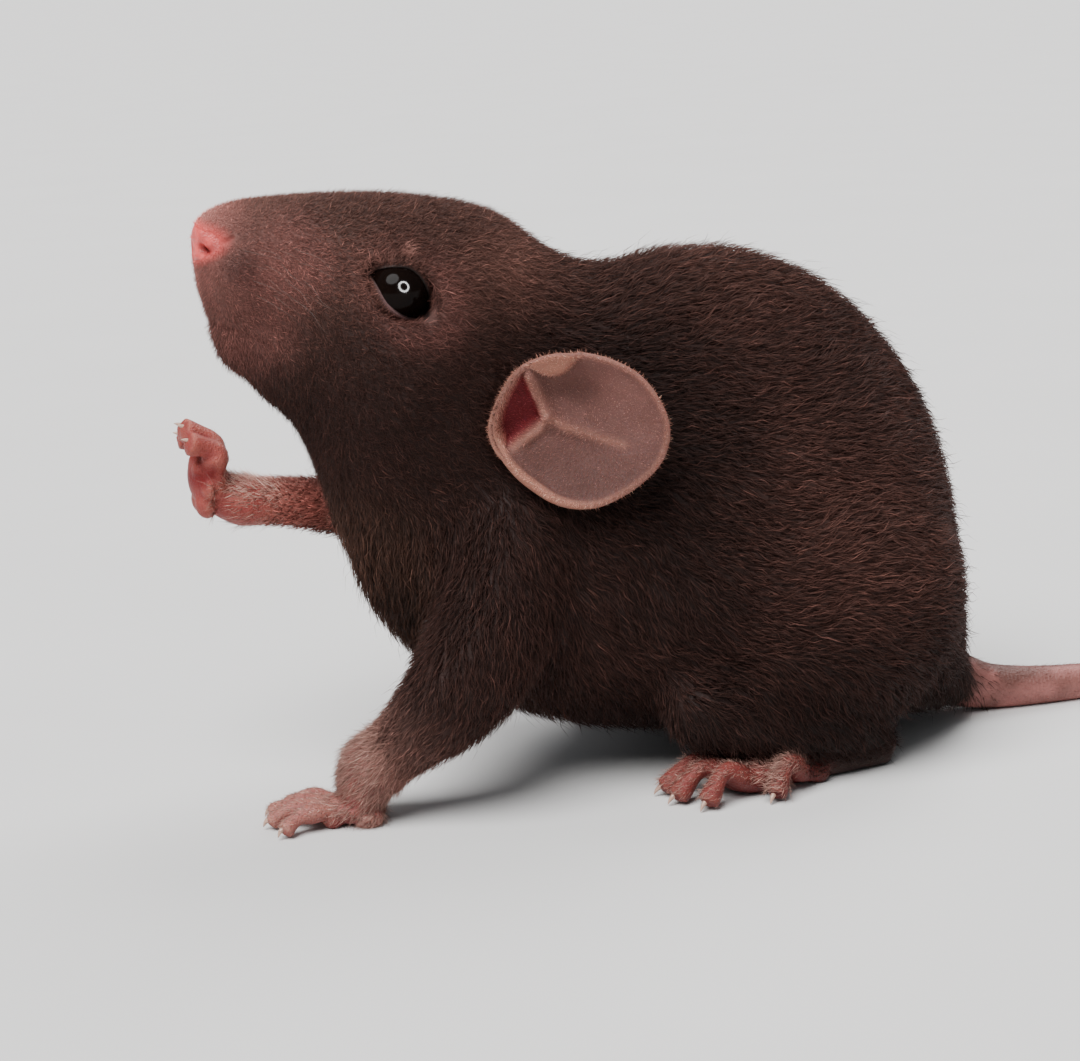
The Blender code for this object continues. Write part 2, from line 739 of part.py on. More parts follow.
def hand(name, side, arm, way, up, palm_at, reach, bend):
    """A fore paw: palm, wrist pads, thumb, and four fingers with their claws."""
    way, up = unit(way), unit(up)
    up = unit(up - way * (up @ way))
    across = np.cross(way, up)
    across = across if across[1] * side > 0 else -across
    turn = Matrix((way, across, up)).transposed()
    palm_at = np.array(palm_at, float)
    forms = [ellipsoid("palm", palm_at, PALM_RADII, 16, 10, turn)]
    for (along, aside, above), radii in (*WRIST_PADS, THUMB):
        place = palm_at + way * along + across * aside + up * above
        forms.append(ellipsoid("pad", place, radii, 10, 6, turn))
    for spread, knuckle, middle, tip, stray in FINGERS:
        sizes = (spread, knuckle * reach, middle * reach, tip * reach, stray)
        rows = digit(palm_at, way, across, up, sizes, FINGER_RADIUS, bend)
        forms.append(tube("finger", rows, 2, 2, dome=(0.7, 1.3)))
        forms.append(claw(rows, up))
    wrist = np.array(arm[WRIST])
    before = np.array(arm[WRIST - 1])
    inside = wrist + (before - wrist) * 0.4
    heel = (*(palm_at - way), HEEL_OF_HAND_RADIUS)
    forms.append(tube("wrist", [tuple(inside), tuple(wrist), heel], 3, 2))
    made = one_solid(name, forms)
    slice_off(made, wrist[:3] + arm_way(arm, WRIST) * GAP / 2, arm_way(arm, WRIST))
    return made


def foot_frame(side):
    """Where the heel and the ball of a hind foot are, and the ways forward, outward and up."""
    turn_out = math.radians(FOOT_TURN_OUT)
    way = unit((-math.cos(turn_out), side * math.sin(turn_out), 0.0))
    across = unit(np.array((0.0, side, 0.0)) - way * (side * way[1]))
    up = np.array((0.0, 0.0, 1.0))
    heel = np.array((HEEL[0], side * HEEL[1], HEEL[2]))
    return heel, heel + way * FOOT_LENGTH_TO_BALL, way, across, up


def foot_forms(side, grow=0.0):
    """The heel, sole, ankle and toes of a hind foot, or a grown copy that clears them."""
    heel, ball, way, across, up = foot_frame(side)
    turn = Matrix((way, across, up)).transposed()
    forms = [ellipsoid("ball", ball, [r + grow for r in BALL_RADII], 16, 10, turn)]
    for rows in (SOLE, ANKLE):
        path = [(*(heel + way * along + up * above), r + grow) for along, above, r in rows]
        forms.append(tube("sole", path, 3, 2))
    toes = []
    for sizes in TOES:
        rows = digit(ball, way, across, up, sizes, TOE_RADIUS + grow, TOE_RISE)
        forms.append(tube("toe", rows, 2, 2, dome=(0.7, 1.3)))
        toes.append(rows)
    return forms, toes, up


def foot(name, side):
    """A hind foot flat on the floor: heel, long sole, five toes with their claws."""
    forms, toes, up = foot_forms(side)
    forms += [claw(rows, up, TOE_CLAW_SCALE) for rows in toes]
    return one_solid(name, forms)


def slice_off(obj, place, normal):
    """Cuts away what lies behind the plane through place, on the side away from the normal."""
    form = bmesh.new()
    bmesh.ops.create_cube(form, size=1.0)
    normal = Vector(normal)
    turn = Vector((0.0, 0.0, 1.0)).rotation_difference(normal).to_matrix().to_4x4()
    middle = (Vector(place) - normal * SLICE_DEPTH / 2) * MM
    size = Matrix.Diagonal((*(Vector((2.0, 2.0, 1.0)) * SLICE_DEPTH * MM), 1.0))
    bmesh.ops.transform(form, matrix=Matrix.Translation(middle) @ turn @ size, verts=form.verts)
    return largest(combine(obj, [mesh_from_bmesh("slice", form)], "DIFFERENCE"))


def stand_flat(obj):
    """Shaves the object at the level of the floor, which leaves small flats to rest on."""
    form = bmesh.new()
    bmesh.ops.create_cube(form, size=1.0)
    middle, sides = FLOOR_BLOCK
    place = Matrix.Translation(Vector(middle) * MM)
    size = Matrix.Diagonal((*(Vector(sides) * MM), 1.0))
    bmesh.ops.transform(form, matrix=place @ size, verts=form.verts)
    return largest(combine(obj, [mesh_from_bmesh("floor_cutter", form)], "DIFFERENCE"))


def ear_frame(side):
    """The middle of an ear's blade, and the ways along it, up it and out of its cup."""
    along = unit((EAR_LENGTH_WAY[0], side * EAR_LENGTH_WAY[1], EAR_LENGTH_WAY[2]))
    up = np.array((EAR_UP_WAY[0], side * EAR_UP_WAY[1], EAR_UP_WAY[2]))
    up = unit(up - along * (up @ along))
    middle = np.array((EAR_MIDDLE[0], side * EAR_MIDDLE[1], EAR_MIDDLE[2]))
    return middle, along, up, np.cross(up, along) * side


def ear_rings(side, wider=0.0):
    """Rings of a cup that is round at its rim and sinks to a funnel near the root.

    Depth below the rim at a point (a, b) of the blade, with r its share of the way to the
    rim: cup (r^2 - 1) - funnel exp(-|(a, b) - f|^2 / w^2).
    """
    middle, along, up, face = ear_frame(side)
    angle = np.arange(EAR_AROUND) * 2 * math.pi / EAR_AROUND
    toward_root = np.maximum(0.0, -np.cos(angle)) ** EAR_ROOT_NARROWING
    reach = EAR_BLADE_RADIUS + (EAR_ROOT_REACH - EAR_BLADE_RADIUS) * toward_root
    rings = []
    for share in EAR_RING_SHARES:
        a = (reach * share + wider * (share == 1.0)) * np.cos(angle)
        b = (reach * share + wider * (share == 1.0)) * np.sin(angle)
        away = (a - EAR_FUNNEL_AT[0]) ** 2 + (b - EAR_FUNNEL_AT[1]) ** 2
        funnel = EAR_FUNNEL_DEPTH * np.exp(-away / EAR_FUNNEL_RADIUS**2)
        depth = EAR_CUP_DEPTH * (share**2 - 1) - funnel * min(1.0, EAR_FUNNEL_FADE * (1 - share))
        rings.append(middle + np.outer(a, along) + np.outer(b, up) + np.outer(depth, face))
    return rings, face


def ear_sheet(side, wider=0.0):
    """The cup as an open sheet in a bmesh, with the loops of its rings."""
    rings, face = ear_rings(side, wider)
    form = bmesh.new()
    centre = form.verts.new(Vector(rings[0][0]) * MM)
    loops = [[form.verts.new(Vector(p) * MM) for p in ring] for ring in rings[1:]]
    for i in range(EAR_AROUND):
        j = (i + 1) % EAR_AROUND
        form.faces.new((centre, loops[0][i], loops[0][j]))
        for near, far in zip(loops, loops[1:]):
            form.faces.new((near[i], far[i], far[j], near[j]))
    form.normal_update()
    return form, loops, Vector(face)


def ear(name, side):
    """A dumbo ear: a thin cup, round at the blade and drawn down to a funnel near its root."""
    form, _, _ = ear_sheet(side)
    made = mesh_from_bmesh(name, form)
    wall = made.modifiers.new("wall", "SOLIDIFY")
    wall.thickness = EAR_THICKNESS * MM
    wall.offset = 0.0
    return frozen(made)


def ear_plug(side):
    """A form that fills an ear's cup and clears its back by one gap, to seat it in the head."""
    form, loops, face = ear_sheet(side, GAP)
    back = EAR_THICKNESS / 2 + GAP
    moves = []
    for vert in form.verts:
        normal = vert.normal if vert.normal.dot(face) > 0 else -vert.normal
        moves.append((vert, normal * -back * MM))
    for vert, move in moves:
        vert.co += move
    rim = loops[-1]
    front = [form.verts.new(vert.co + face * EAR_RECESS * MM) for vert in rim]
    for i in range(EAR_AROUND):
        j = (i + 1) % EAR_AROUND
        form.faces.new((rim[i], rim[j], front[j], front[i]))
    form.faces.new(front)
    return mesh_from_bmesh("plug", form)


def tail_slab(x_cut):
    """A thin disc across the tail at one x."""
    path = through(TAIL_LINE, 12)
    index = int(np.argmin(np.abs(path[:, 0] - x_cut)))
    way = path[index + 1, :3] - path[index - 1, :3]
    return slab("tail_cut", path[index, :3], way, path[index, 3] + TAIL_CUT_MARGIN)


def leg_shell(side):
    """The skin round a thigh and shank, as one thin shell that parts them from the body."""
    forms = [thigh(side), tube("shin", mirrored(SHIN, side), 4, 2, True)]
    return hollow(fused("leg", forms, FLESH_VOXEL, 4, 420))


def surface_of(obj):
    """The surface of a mesh, as a tree that rays can be cast at."""
    form = bmesh.new()
    form.from_mesh(obj.data)
    tree = BVHTree.FromBMesh(form)
    form.free()
    return tree


def cut_flesh():
    """The fused flesh, with the limbs and the lengths of the tail parted from the body."""
    flesh = fused("flesh", flesh_forms(), FLESH_VOXEL, FLESH_SMOOTHING, FLESH_TRIANGLES)
    surface = surface_of(flesh)
    combine(flesh, [tube("tail", TAIL_LINE, 3, 3)], "UNION")
    combine(flesh, [ear_plug(LEFT), ear_plug(RIGHT)], "DIFFERENCE")
    arms = [tube("arm", rows, 4, 2, True) for rows in (LEFT_ARM, RIGHT_ARM)]
    combine(flesh, [hollow(arm) for arm in arms], "DIFFERENCE")
    feet = [one_solid("clearance", foot_forms(side, GAP)[0]) for side in (LEFT, RIGHT)]
    combine(flesh, feet, "DIFFERENCE")
    combine(flesh, [leg_shell(side) for side in (LEFT, RIGHT)], "DIFFERENCE")
    combine(flesh, [tail_slab(x) for x in TAIL_CUTS], "DIFFERENCE")
    return parted(flesh, FLESH_PLACES), surface


def cut_body(body):
    """Parts the head, the neck and the torso."""
    sheets = [sheet(line, *NECK_CUT_REACH) for line in (NECK_FRONT, NECK_BACK)]
    return parted(combine(body, sheets, "DIFFERENCE"), BODY_PLACES)


def cut_arm(arm, name, rows):
    """Parts a fore leg at the elbow and at the wrist."""
    discs = [slab("across", rows[i][:3], arm_way(rows, i), ARM_CUT_REACH) for i in (ELBOW, WRIST)]
    places = {f"upper_arm_{name}": rows[1][:3], f"forearm_{name}": rows[3][:3]}
    return parted(combine(arm, discs, "DIFFERENCE"), places)


def cut_leg(leg, name, side):
    """Parts a thigh from its shank."""
    x, y, z = KNEE_CUT
    disc = slab("across", (x, side * y, z), KNEE_CUT_WAY, KNEE_CUT_REACH)
    places = {f"{kind}_{name}": (x, side * y, z) for kind, (x, y, z) in LEG_PLACES.items()}
    return parted(combine(leg, [disc], "DIFFERENCE"), places)


def build():
    """Every node, by name."""
    nodes, surface = cut_flesh()
    nodes.update(cut_body(nodes.pop("body")))
    nodes.update(cut_head(nodes.pop("head"), surface))
    for name, rows in (("left", LEFT_ARM), ("right", RIGHT_ARM)):
        nodes.update(cut_arm(nodes.pop(f"arm_{name}"), name, rows))
    for name, side in (("left", LEFT), ("right", RIGHT)):
        nodes.update(cut_leg(nodes.pop(f"leg_{name}"), name, side))
        nodes[f"foot_{name}"] = foot(f"foot_{name}", side)
        nodes[f"ear_{name}"] = ear(f"ear_{name}", side)
    nodes["hand_left"] = hand("hand_left", LEFT, LEFT_ARM, *LEFT_HAND)
    nodes["hand_right"] = hand("hand_right", RIGHT, RIGHT_ARM, *RIGHT_HAND)
    nodes = {name: thinned(obj) for name, obj in nodes.items()}
    for name in ON_THE_FLOOR:
        stand_flat(nodes[name])
    return nodes


def finish(nodes):
    """Puts the middle of the model at the origin and gives each node its look."""
    looks = {
        "eye": material("eye_black", EYE_BLACK),
        "ear": material("ear_pink", EAR_PINK),
        "tail": material("tail_pink", TAIL_PINK),
        "paw": material("paw_pink", PAW_PINK),
        "coat": material("coat_brown", COAT_BROWN),
    }
    kinds = {"nose": "paw", "hand": "paw", "foot": "paw"}
    corners = np.vstack([[v.co for v in obj.data.vertices] for obj in nodes.values()])
    middle = (corners.min(axis=0) + corners.max(axis=0)) / 2
    for name, obj in nodes.items():
        kind = name.split("_")[0]
        obj.name = name
        obj.data.name = name
        obj.data.transform(Matrix.Translation((-middle[0], -middle[1], 0.0)))
        obj.data.materials.clear()
        obj.data.materials.append(looks.get(kinds.get(kind, kind), looks["coat"]))
        obj.data.polygons.foreach_set("use_smooth", [True] * len(obj.data.polygons))
        workshop.objects.unlink(obj)
        rat.objects.link(obj)
    bpy.data.collections.remove(workshop)


clear_scene()
workshop = new_collection("workshop")
rat = new_collection("dumbo_rat")
finish(build())
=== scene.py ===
"""A young dumbo rat, life size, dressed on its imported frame.

Places are in millimetres in the rat's own frame: x runs back along the body, y to the rat's
right and z up from the floor. The left eye stands at EYE there. Meshes are put in metres.
"""

import math

import bmesh
import bpy
import numpy as np
from mathutils import Matrix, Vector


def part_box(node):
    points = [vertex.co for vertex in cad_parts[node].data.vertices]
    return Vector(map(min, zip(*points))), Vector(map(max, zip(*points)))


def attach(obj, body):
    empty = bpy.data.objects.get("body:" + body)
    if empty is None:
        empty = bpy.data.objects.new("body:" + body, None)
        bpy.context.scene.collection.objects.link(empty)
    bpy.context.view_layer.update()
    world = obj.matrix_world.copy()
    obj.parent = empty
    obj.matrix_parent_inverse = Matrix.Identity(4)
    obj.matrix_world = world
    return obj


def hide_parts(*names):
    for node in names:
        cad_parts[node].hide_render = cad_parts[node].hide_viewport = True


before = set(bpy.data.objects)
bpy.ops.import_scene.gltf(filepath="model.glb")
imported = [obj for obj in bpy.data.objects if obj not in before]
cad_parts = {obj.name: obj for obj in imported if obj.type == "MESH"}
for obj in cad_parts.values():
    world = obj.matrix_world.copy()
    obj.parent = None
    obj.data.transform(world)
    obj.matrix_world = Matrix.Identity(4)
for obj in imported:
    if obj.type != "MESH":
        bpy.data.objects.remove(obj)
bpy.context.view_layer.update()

# The skin: one seamless hide over the head, body and limbs, under the coat.
# It is soft living skin, pink where the fur is thin, and darkened under the fur by painted shade.
# The frame's nodes of flesh are melted into one mesh and drawn in by the depth of the coat.
MM = 0.001
LEFT, RIGHT = -1.0, 1.0
SIDES = {"left": LEFT, "right": RIGHT}
EYE = np.array((-15.7, -4.05, 50.4))
EYE_MIDDLE_Y = 2.45
EYE_RADIUS = 3.1
OFFSET = np.array(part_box("eye_left")).mean(axis=0) / MM - EYE
FLESH = ["head", "lower_jaw", "nose", "neck", "torso"]
FLESH += [f"{limb}_{side}" for limb in ("upper_arm", "forearm", "thigh", "shank")
          for side in SIDES]
SWELL = 0.22
SKIN_VOXEL = 0.505
SKIN_ROUNDS = 8
LEFT_ARM = np.array((
    (-6.5, -8.6, 26.5), (-9.8, -10.4, 19.0), (-13.6, -11.4, 13.2), (-18.6, -10.6, 8.6),
    (-22.4, -9.2, 5.3),
))
RIGHT_ARM = np.array((
    (-6.5, 8.6, 26.5), (-13.0, 10.6, 25.8), (-19.5, 10.0, 27.0), (-25.0, 8.8, 28.4),
    (-30.2, 8.2, 29.2),
))
NOSE = np.array((-32.6, 5.3, 55.2))
MOUTH = np.array((
    (-33.0, 48.4), (-30.6, 47.3), (-28.0, 45.9), (-26.9, 44.4), (-27.3, 42.0),
))


def ramp(x, low, high):
    """Zero up to low and one from high, along the smooth curve 3 t^2 - 2 t^3 between them."""
    t = np.clip((x - low) / (high - low), 0.0, 1.0)
    return t * t * (3.0 - 2.0 * t)


def hill(x, middle, width):
    """A bell curve of x, one at its middle."""
    return np.exp(-(((x - middle) / width) ** 2))


def unit(v):
    """Vectors of length one along the last axis."""
    v = np.asarray(v, float)
    return v / np.maximum(np.linalg.norm(v, axis=-1, keepdims=True), 1e-12)


def put(name, points, *faces):
    """A smooth mesh object from points in millimetres and arrays of faces, one per corner count."""
    mesh = bpy.data.meshes.new(name)
    corners = np.concatenate([f.ravel() for f in faces])
    sizes = np.concatenate([np.full(len(f), f.shape[1]) for f in faces])
    mesh.vertices.add(len(points))
    mesh.vertices.foreach_set("co", ((points + OFFSET) * MM).astype(np.float32).ravel())
    mesh.loops.add(len(corners))
    mesh.loops.foreach_set("vertex_index", corners.astype(np.int32))
    mesh.polygons.add(len(sizes))
    mesh.polygons.foreach_set("loop_start", (np.cumsum(sizes) - sizes).astype(np.int32))
    mesh.polygons.foreach_set("use_smooth", np.ones(len(sizes), bool))
    mesh.update(calc_edges=True)
    made = bpy.data.objects.new(name, mesh)
    bpy.context.scene.collection.objects.link(made)
    return made


def points_of(mesh):
    """A mesh's points in millimetres in the rat's frame."""
    return numbers_of(mesh.vertices, "co", 3, np.float32).astype(float) / MM - OFFSET


def numbers_of(collection, what, width, kind=np.int32):
    """One property of every element of a mesh, as rows of so many numbers."""
    found = np.empty(len(collection) * width, kind)
    collection.foreach_get(what, found)
    return found.reshape(-1, width)


def normals_of(points, faces):
    """Each point's normal: the sum of the faces round it, weighted by their area."""
    across = np.cross(points[faces[:, 2]] - points[faces[:, 0]],
                      points[faces[:, -1]] - points[faces[:, 1]])
    corners = faces.ravel()
    each = np.repeat(across, faces.shape[1], axis=0)
    return unit(np.stack([np.bincount(corners, each[:, k], len(points)) for k in range(3)], axis=1))


def relaxed(points, edges, rounds, share=0.5):
    """Points drawn by share towards the mean of their neighbours, in so many rounds."""
    ends = np.concatenate([edges, edges[:, ::-1]])
    count = np.maximum(np.bincount(ends[:, 0], minlength=len(points)), 1)[:, None]
    for _ in range(rounds):
        total = np.stack(
            [np.bincount(ends[:, 0], points[ends[:, 1], k], len(points)) for k in range(3)], axis=1
        )
        points = points + share * (total / count - points)
    return points


def scatter(cells, seed):
    """A fixed random number from -1 to 1 for each cell of a lattice, by mixing its whole numbers."""
    mixed = cells[..., 0] * 73856093 ^ cells[..., 1] * 19349663 ^ cells[..., 2] * 83492791
    mixed = (mixed ^ seed * 2654435761) & 0xFFFFFFFF
    mixed = ((mixed ^ mixed >> 15) * 2246822519) & 0xFFFFFFFF
    mixed = ((mixed ^ mixed >> 13) * 3266489917) & 0xFFFFFFFF
    return (mixed ^ mixed >> 16) / 2147483647.5 - 1.0


def noise(points, size, seed):
    """Smooth noise from -1 to 1: random numbers on a lattice of cubes this size, eased between."""
    cell = points / size
    low = np.floor(cell).astype(np.int64)
    t = cell - low
    t = t * t * (3.0 - 2.0 * t)
    total = np.zeros(len(points))
    for corner in np.ndindex(2, 2, 2):
        weight = np.prod(np.where(corner, t, 1.0 - t), axis=1)
        total += weight * scatter(low + corner, seed)
    return total


def along_path(points, path):
    """How far along a path each point's nearest place is, from 0 to 1, and how far off it lies."""
    best = np.full(len(points), 1e9)
    share = np.zeros(len(points))
    lengths = np.linalg.norm(np.diff(path, axis=0), axis=1)
    starts = np.concatenate([[0.0], np.cumsum(lengths)])
    for i, (a, b) in enumerate(zip(path, path[1:])):
        t = np.clip((points - a) @ (b - a) / lengths[i] ** 2, 0.0, 1.0)
        away = np.linalg.norm(points - a - t[:, None] * (b - a), axis=1)
        share = np.where(away < best, (starts[i] + t * lengths[i]) / starts[-1], share)
        best = np.minimum(away, best)
    return share, best


def head_share(points):
    """One on the head, falling to nothing down the throat and over the nape."""
    x, z = points[:, 0], points[:, 2]
    back = 0.925 * (x + 34.0) - 0.38 * (z - 54.0)
    return (1.0 - ramp(back, 27.0, 37.0)) * ramp(z, 27.0, 35.0)


def arm_share(points, arm):
    """How far down a fore leg a point is, from 0 above the elbow to 1 at the wrist."""
    share, away = along_path(points, arm)
    return ramp(share, 0.25, 0.95) * (1.0 - ramp(away, 6.5, 8.0))


def coat_depth(points):
    """Depth of the coat over the skin: deepest on the body, thin on the face and limbs."""
    head = head_share(points)
    from_nose = np.linalg.norm(points - NOSE, axis=1)
    depth = 1.15 * (1.0 - head) + (0.12 + 0.38 * ramp(from_nose, 3.0, 22.0)) * head
    for arm in (LEFT_ARM, RIGHT_ARM):
        depth *= 1.0 - 0.8 * arm_share(points, arm)
    return depth * (0.35 + 0.65 * ramp(points[:, 2], 2.5, 9.0))


def melted(meshes, swell, voxel, rounds):
    """Meshes swollen along their normals into each other, remeshed as one skin and relaxed."""
    whole = bmesh.new()
    for mesh in meshes:
        form = bmesh.new()
        form.from_mesh(mesh)
        bmesh.ops.remove_doubles(form, verts=form.verts, dist=1e-6)
        copy = bpy.data.meshes.new("copy")
        form.to_mesh(copy)
        form.free()
        copy.calc_loop_triangles()
        points = points_of(copy)
        grown = points + swell * normals_of(points, numbers_of(copy.loop_triangles, "vertices", 3))
        copy.vertices.foreach_set("co", ((grown + OFFSET) * MM).astype(np.float32).ravel())
        whole.from_mesh(copy)
        bpy.data.meshes.remove(copy)
    mesh = bpy.data.meshes.new("melted")
    whole.to_mesh(mesh)
    whole.free()
    made = bpy.data.objects.new("melted", mesh)
    bpy.context.scene.collection.objects.link(made)
    melt = made.modifiers.new("melt", "REMESH")
    melt.mode = "VOXEL"
    melt.voxel_size = voxel * MM
    done = bpy.data.meshes.new_from_object(
        made.evaluated_get(bpy.context.evaluated_depsgraph_get())
    )
    points = points_of(done)
    faces = numbers_of(done.loops, "vertex_index", 1).reshape(-1, 4)
    edges = numbers_of(done.edges, "vertices", 2)
    bpy.data.objects.remove(made)
    bpy.data.meshes.remove(done)
    return relaxed(points, edges, rounds), faces, edges


def node_meshes(names):
    """The meshes of some of the frame's nodes."""
    return [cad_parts[name].data for name in names]


def linear(red_shade, green, blue):
    """A colour as seen, in steps from 0 to 255, as the shares of light that it stands for."""
    seen = np.array((red_shade, green, blue)) / 255.0
    return np.where(seen < 0.04045, seen / 12.92, ((seen + 0.055) / 1.055) ** 2.4)


BROWN = linear(56, 35, 30)
CROWN_BROWN = linear(82, 55, 48)
MUZZLE_ROSE = linear(149, 95, 88)
PAD_PINK = linear(204, 78, 74)
CHEST_GREY = linear(64, 43, 35)
BELLY_GREY = linear(70, 58, 52)
WRIST_BEIGE = linear(129, 91, 82)
WRIST_ROSE = linear(130, 74, 66)
# A near black brown: the dark rims of the lids, and painted shade in the eye's socket and beside the nose.
DARK_SKIN_AND_SHADE = linear(36, 20, 16)
EYE_EDGE = ((-2.78, 2.08), (-1.94, 2.32), (-1.0, 2.5), (0.54, 2.35), (1.62, 1.45), (2.33, 0.0),
            (2.5, -1.3), (2.05, -2.3), (1.0, -2.45), (-0.3, -1.9), (-1.45, -0.75), (-2.2, 0.55))
# Marks of the hide as x and z, and places of painted light and painted shade, where the coat is drawn lighter
# or darker than the rest: how much, and the middle and width of each along x and then along z.
WHISKER_PAD = (-25.5, 54.0)
# A painted shade on the side of the muzzle, below the nose.
NOSE_SIDE_SHADE = (-29.8, 53.1)
LIP = (-30.0, 49.0)
BROW_SPOT = (EYE[0] + 0.9, EYE[2] + 3.9)
HAUNCH_LIT = (1.1, 27.0, 11.0, 26.0, 11.0)
TEMPLE_LIT = (1.2, -3.0, 7.0, 52.0, 4.5)
CHEEK_SHADE = (-0.12, -8.0, 4.0, 45.0, 4.0)
FLANK_SHADE = (-0.35, 7.0, 7.0, 27.0, 13.0)
NECK_SHADE = (-0.5, 1.0, 7.0, 38.0, 9.0)


def blended(colour, other, share):
    """Colour turned to another by a share per point."""
    return colour + share[:, None] * (other - colour)


def folded_over(points, middle):
    """Places folded onto one side of an upright plane: x, distance from the plane, and z."""
    return np.stack((points[:, 0], np.abs(points[:, 1] - middle), points[:, 2]), axis=1)


def radii_off(points, middle, radii):
    """How far points lie from the middle of an ellipsoid, as shares of its radii."""
    return np.linalg.norm((points - middle) / radii, axis=1)


def smooth_path(rows, per_gap):
    """A Catmull-Rom curve through rows of numbers, with so many steps between two of them."""
    rows = np.asarray(rows, float)
    ends = np.concatenate([[2 * rows[0] - rows[1]], rows, [2 * rows[-1] - rows[-2]]])
    t = np.linspace(0.0, 1.0, per_gap, endpoint=False)[:, None]
    parts = []
    for p, q, r, s in zip(ends, ends[1:], ends[2:], ends[3:]):
        bend = 2 * p - 5 * q + 4 * r - s
        parts.append(q + 0.5 * t * (r - p + t * (bend + t * (3 * (q - r) + s - p))))
    return np.concatenate([*parts, rows[-1:]])


def opening(angle):
    """The reach of the eye's opening at angles about its middle, read off a tear-shaped outline."""
    edge = smooth_path([*EYE_EDGE, EYE_EDGE[0]], 8)[:-1]
    return np.interp(angle, np.arctan2(edge[:, 1], edge[:, 0]), np.hypot(*edge.T), period=2.0 * math.pi)


def past_opening(points):
    """How far outside the eye's opening a place on the face is, seen from its own side."""
    dx, dz = points[:, 0] - EYE[0], points[:, 2] - EYE[2]
    past = np.hypot(dx, dz) - opening(np.arctan2(dz, dx))
    return np.where(np.abs(points[:, 1] - EYE_MIDDLE_Y) > 3.0, past, 9.0)


def flush_share(points):
    """How pink and bare the skin round the nostrils is, fading into the hair of the muzzle."""
    off = radii_off(folded_over(points, NOSE[1]), (-33.4, 0.0, 55.6), (3.7, 4.6, 1.85))
    return 1.0 - ramp(off, 0.7, 1.35)


def by_mark(points, mark, inner, outer, tall=1.0):
    """One within inner of a mark seen from the side, falling to zero at outer."""
    return 1.0 - ramp(np.hypot(points[:, 0] - mark[0], tall * (points[:, 2] - mark[1])), inner, outer)


def lit_by(points, more, x_middle, x_width, z_middle, z_width):
    """How much a place of painted light makes points lighter, and a place of painted shade darker: a bell
    along x times one along z.
    """
    return more * hill(points[:, 0], x_middle, x_width) * hill(points[:, 2], z_middle, z_width)


def markings(points):
    """The coat's and skin's colour: brown, greyer below, rosy on the muzzle, beige at the wrists, with
    painted light and painted shade.
    """
    x, y, z = points.T
    head = head_share(points)
    body = 1.0 - head
    # The crown is paler: partly its own colour and partly painted light on the top of the head.
    crown = np.maximum(head * ramp(z, 40.0, 55.0), 0.45 * ramp(z, 42.0, 52.0))
    colour = blended(np.tile(BROWN, (len(points), 1)), CROWN_BROWN, crown)
    chest = (1.0 - ramp(x + 0.35 * z, -7.0, 1.0)) * body * (1.0 - ramp(np.abs(y - 1.0), 7.0, 11.0))
    colour = blended(colour, CHEST_GREY, chest)
    under = (1.0 - ramp(z, 1.0, 7.0)) * (1.0 - ramp(np.abs(y), 9.0, 14.0))
    colour = blended(colour, BELLY_GREY, 0.8 * under)
    folded = folded_over(points, NOSE[1])
    from_nose = np.linalg.norm(folded - (-33.0, 0.0, 56.0), axis=1)
    colour = blended(colour, MUZZLE_ROSE, 0.9 * (1.0 - ramp(from_nose, 1.5, 7.5)))
    colour = blended(colour, MUZZLE_ROSE, 0.4 * head * by_mark(points, WHISKER_PAD, 1.5, 6.0))
    # Painted shade below the side of the nose.
    dark = by_mark(points, NOSE_SIDE_SHADE, 0.5, 2.6) * ramp(folded[:, 1], 2.5, 4.5)
    colour = blended(colour, DARK_SKIN_AND_SHADE, 0.85 * dark)
    colour = blended(colour, MUZZLE_ROSE, 0.3 * head * by_mark(points, LIP, 2.0, 7.0, 0.8))
    past = past_opening(points)
    before_eye = ramp(x - z - EYE[0] + EYE[2], -2.0, 2.0)
    around = hill(past, 1.6, 1.6) * head * (0.5 + 0.5 * before_eye)
    colour = blended(colour, MUZZLE_ROSE, 0.25 * around)
    # Inside the eye's opening the skin is painted near black: painted shade in the socket.
    colour = blended(colour, DARK_SKIN_AND_SHADE * 0.35, 1.0 - ramp(past, -0.05, 0.2))
    colour = blended(colour, 1.5 * WRIST_BEIGE, 0.9 * head * by_mark(points, BROW_SPOT, 0.2, 0.9))
    colour = blended(colour, PAD_PINK, flush_share(points))
    colour = blended(colour, WRIST_BEIGE, arm_share(points, LEFT_ARM) ** 5)
    off_throat = 1.0 - ramp(z + 0.4 * x, 21.5, 23.5)
    colour = blended(colour, WRIST_ROSE, ramp(arm_share(points, RIGHT_ARM), 0.35, 0.85) * off_throat)
    # Painted shade low on the flank and haunch, and on the flank under the ear; painted light on the haunch
    # and the upper back.
    low = (1.0 - ramp(z, 4.0, 16.0)) * ramp(x, -8.0, 0.0)
    light = (1.0 + lit_by(points, *FLANK_SHADE) * body) * (1.0 - 0.45 * low)
    light *= 1.0 + lit_by(points, *HAUNCH_LIT) + 0.5 * ramp(z, 36.0, 47.0) * ramp(x, 8.0, 18.0)
    # Painted light on the temples and the top of the snout; painted shade on the cheeks and on the neck by
    # the ear.
    light *= 1.0 + lit_by(points, *TEMPLE_LIT) + lit_by(points, *CHEEK_SHADE)
    light *= 1.0 + 0.08 * head * ramp(z, 56.5, 59.5) * (1.0 - ramp(x, -29.0, -20.0))
    light *= 1.0 + lit_by(points, *NECK_SHADE) * body
    light *= 1.0 + 0.22 * noise(points, 6.5, 3) + 0.12 * noise(points, 2.4, 4)
    return colour * light[:, None]


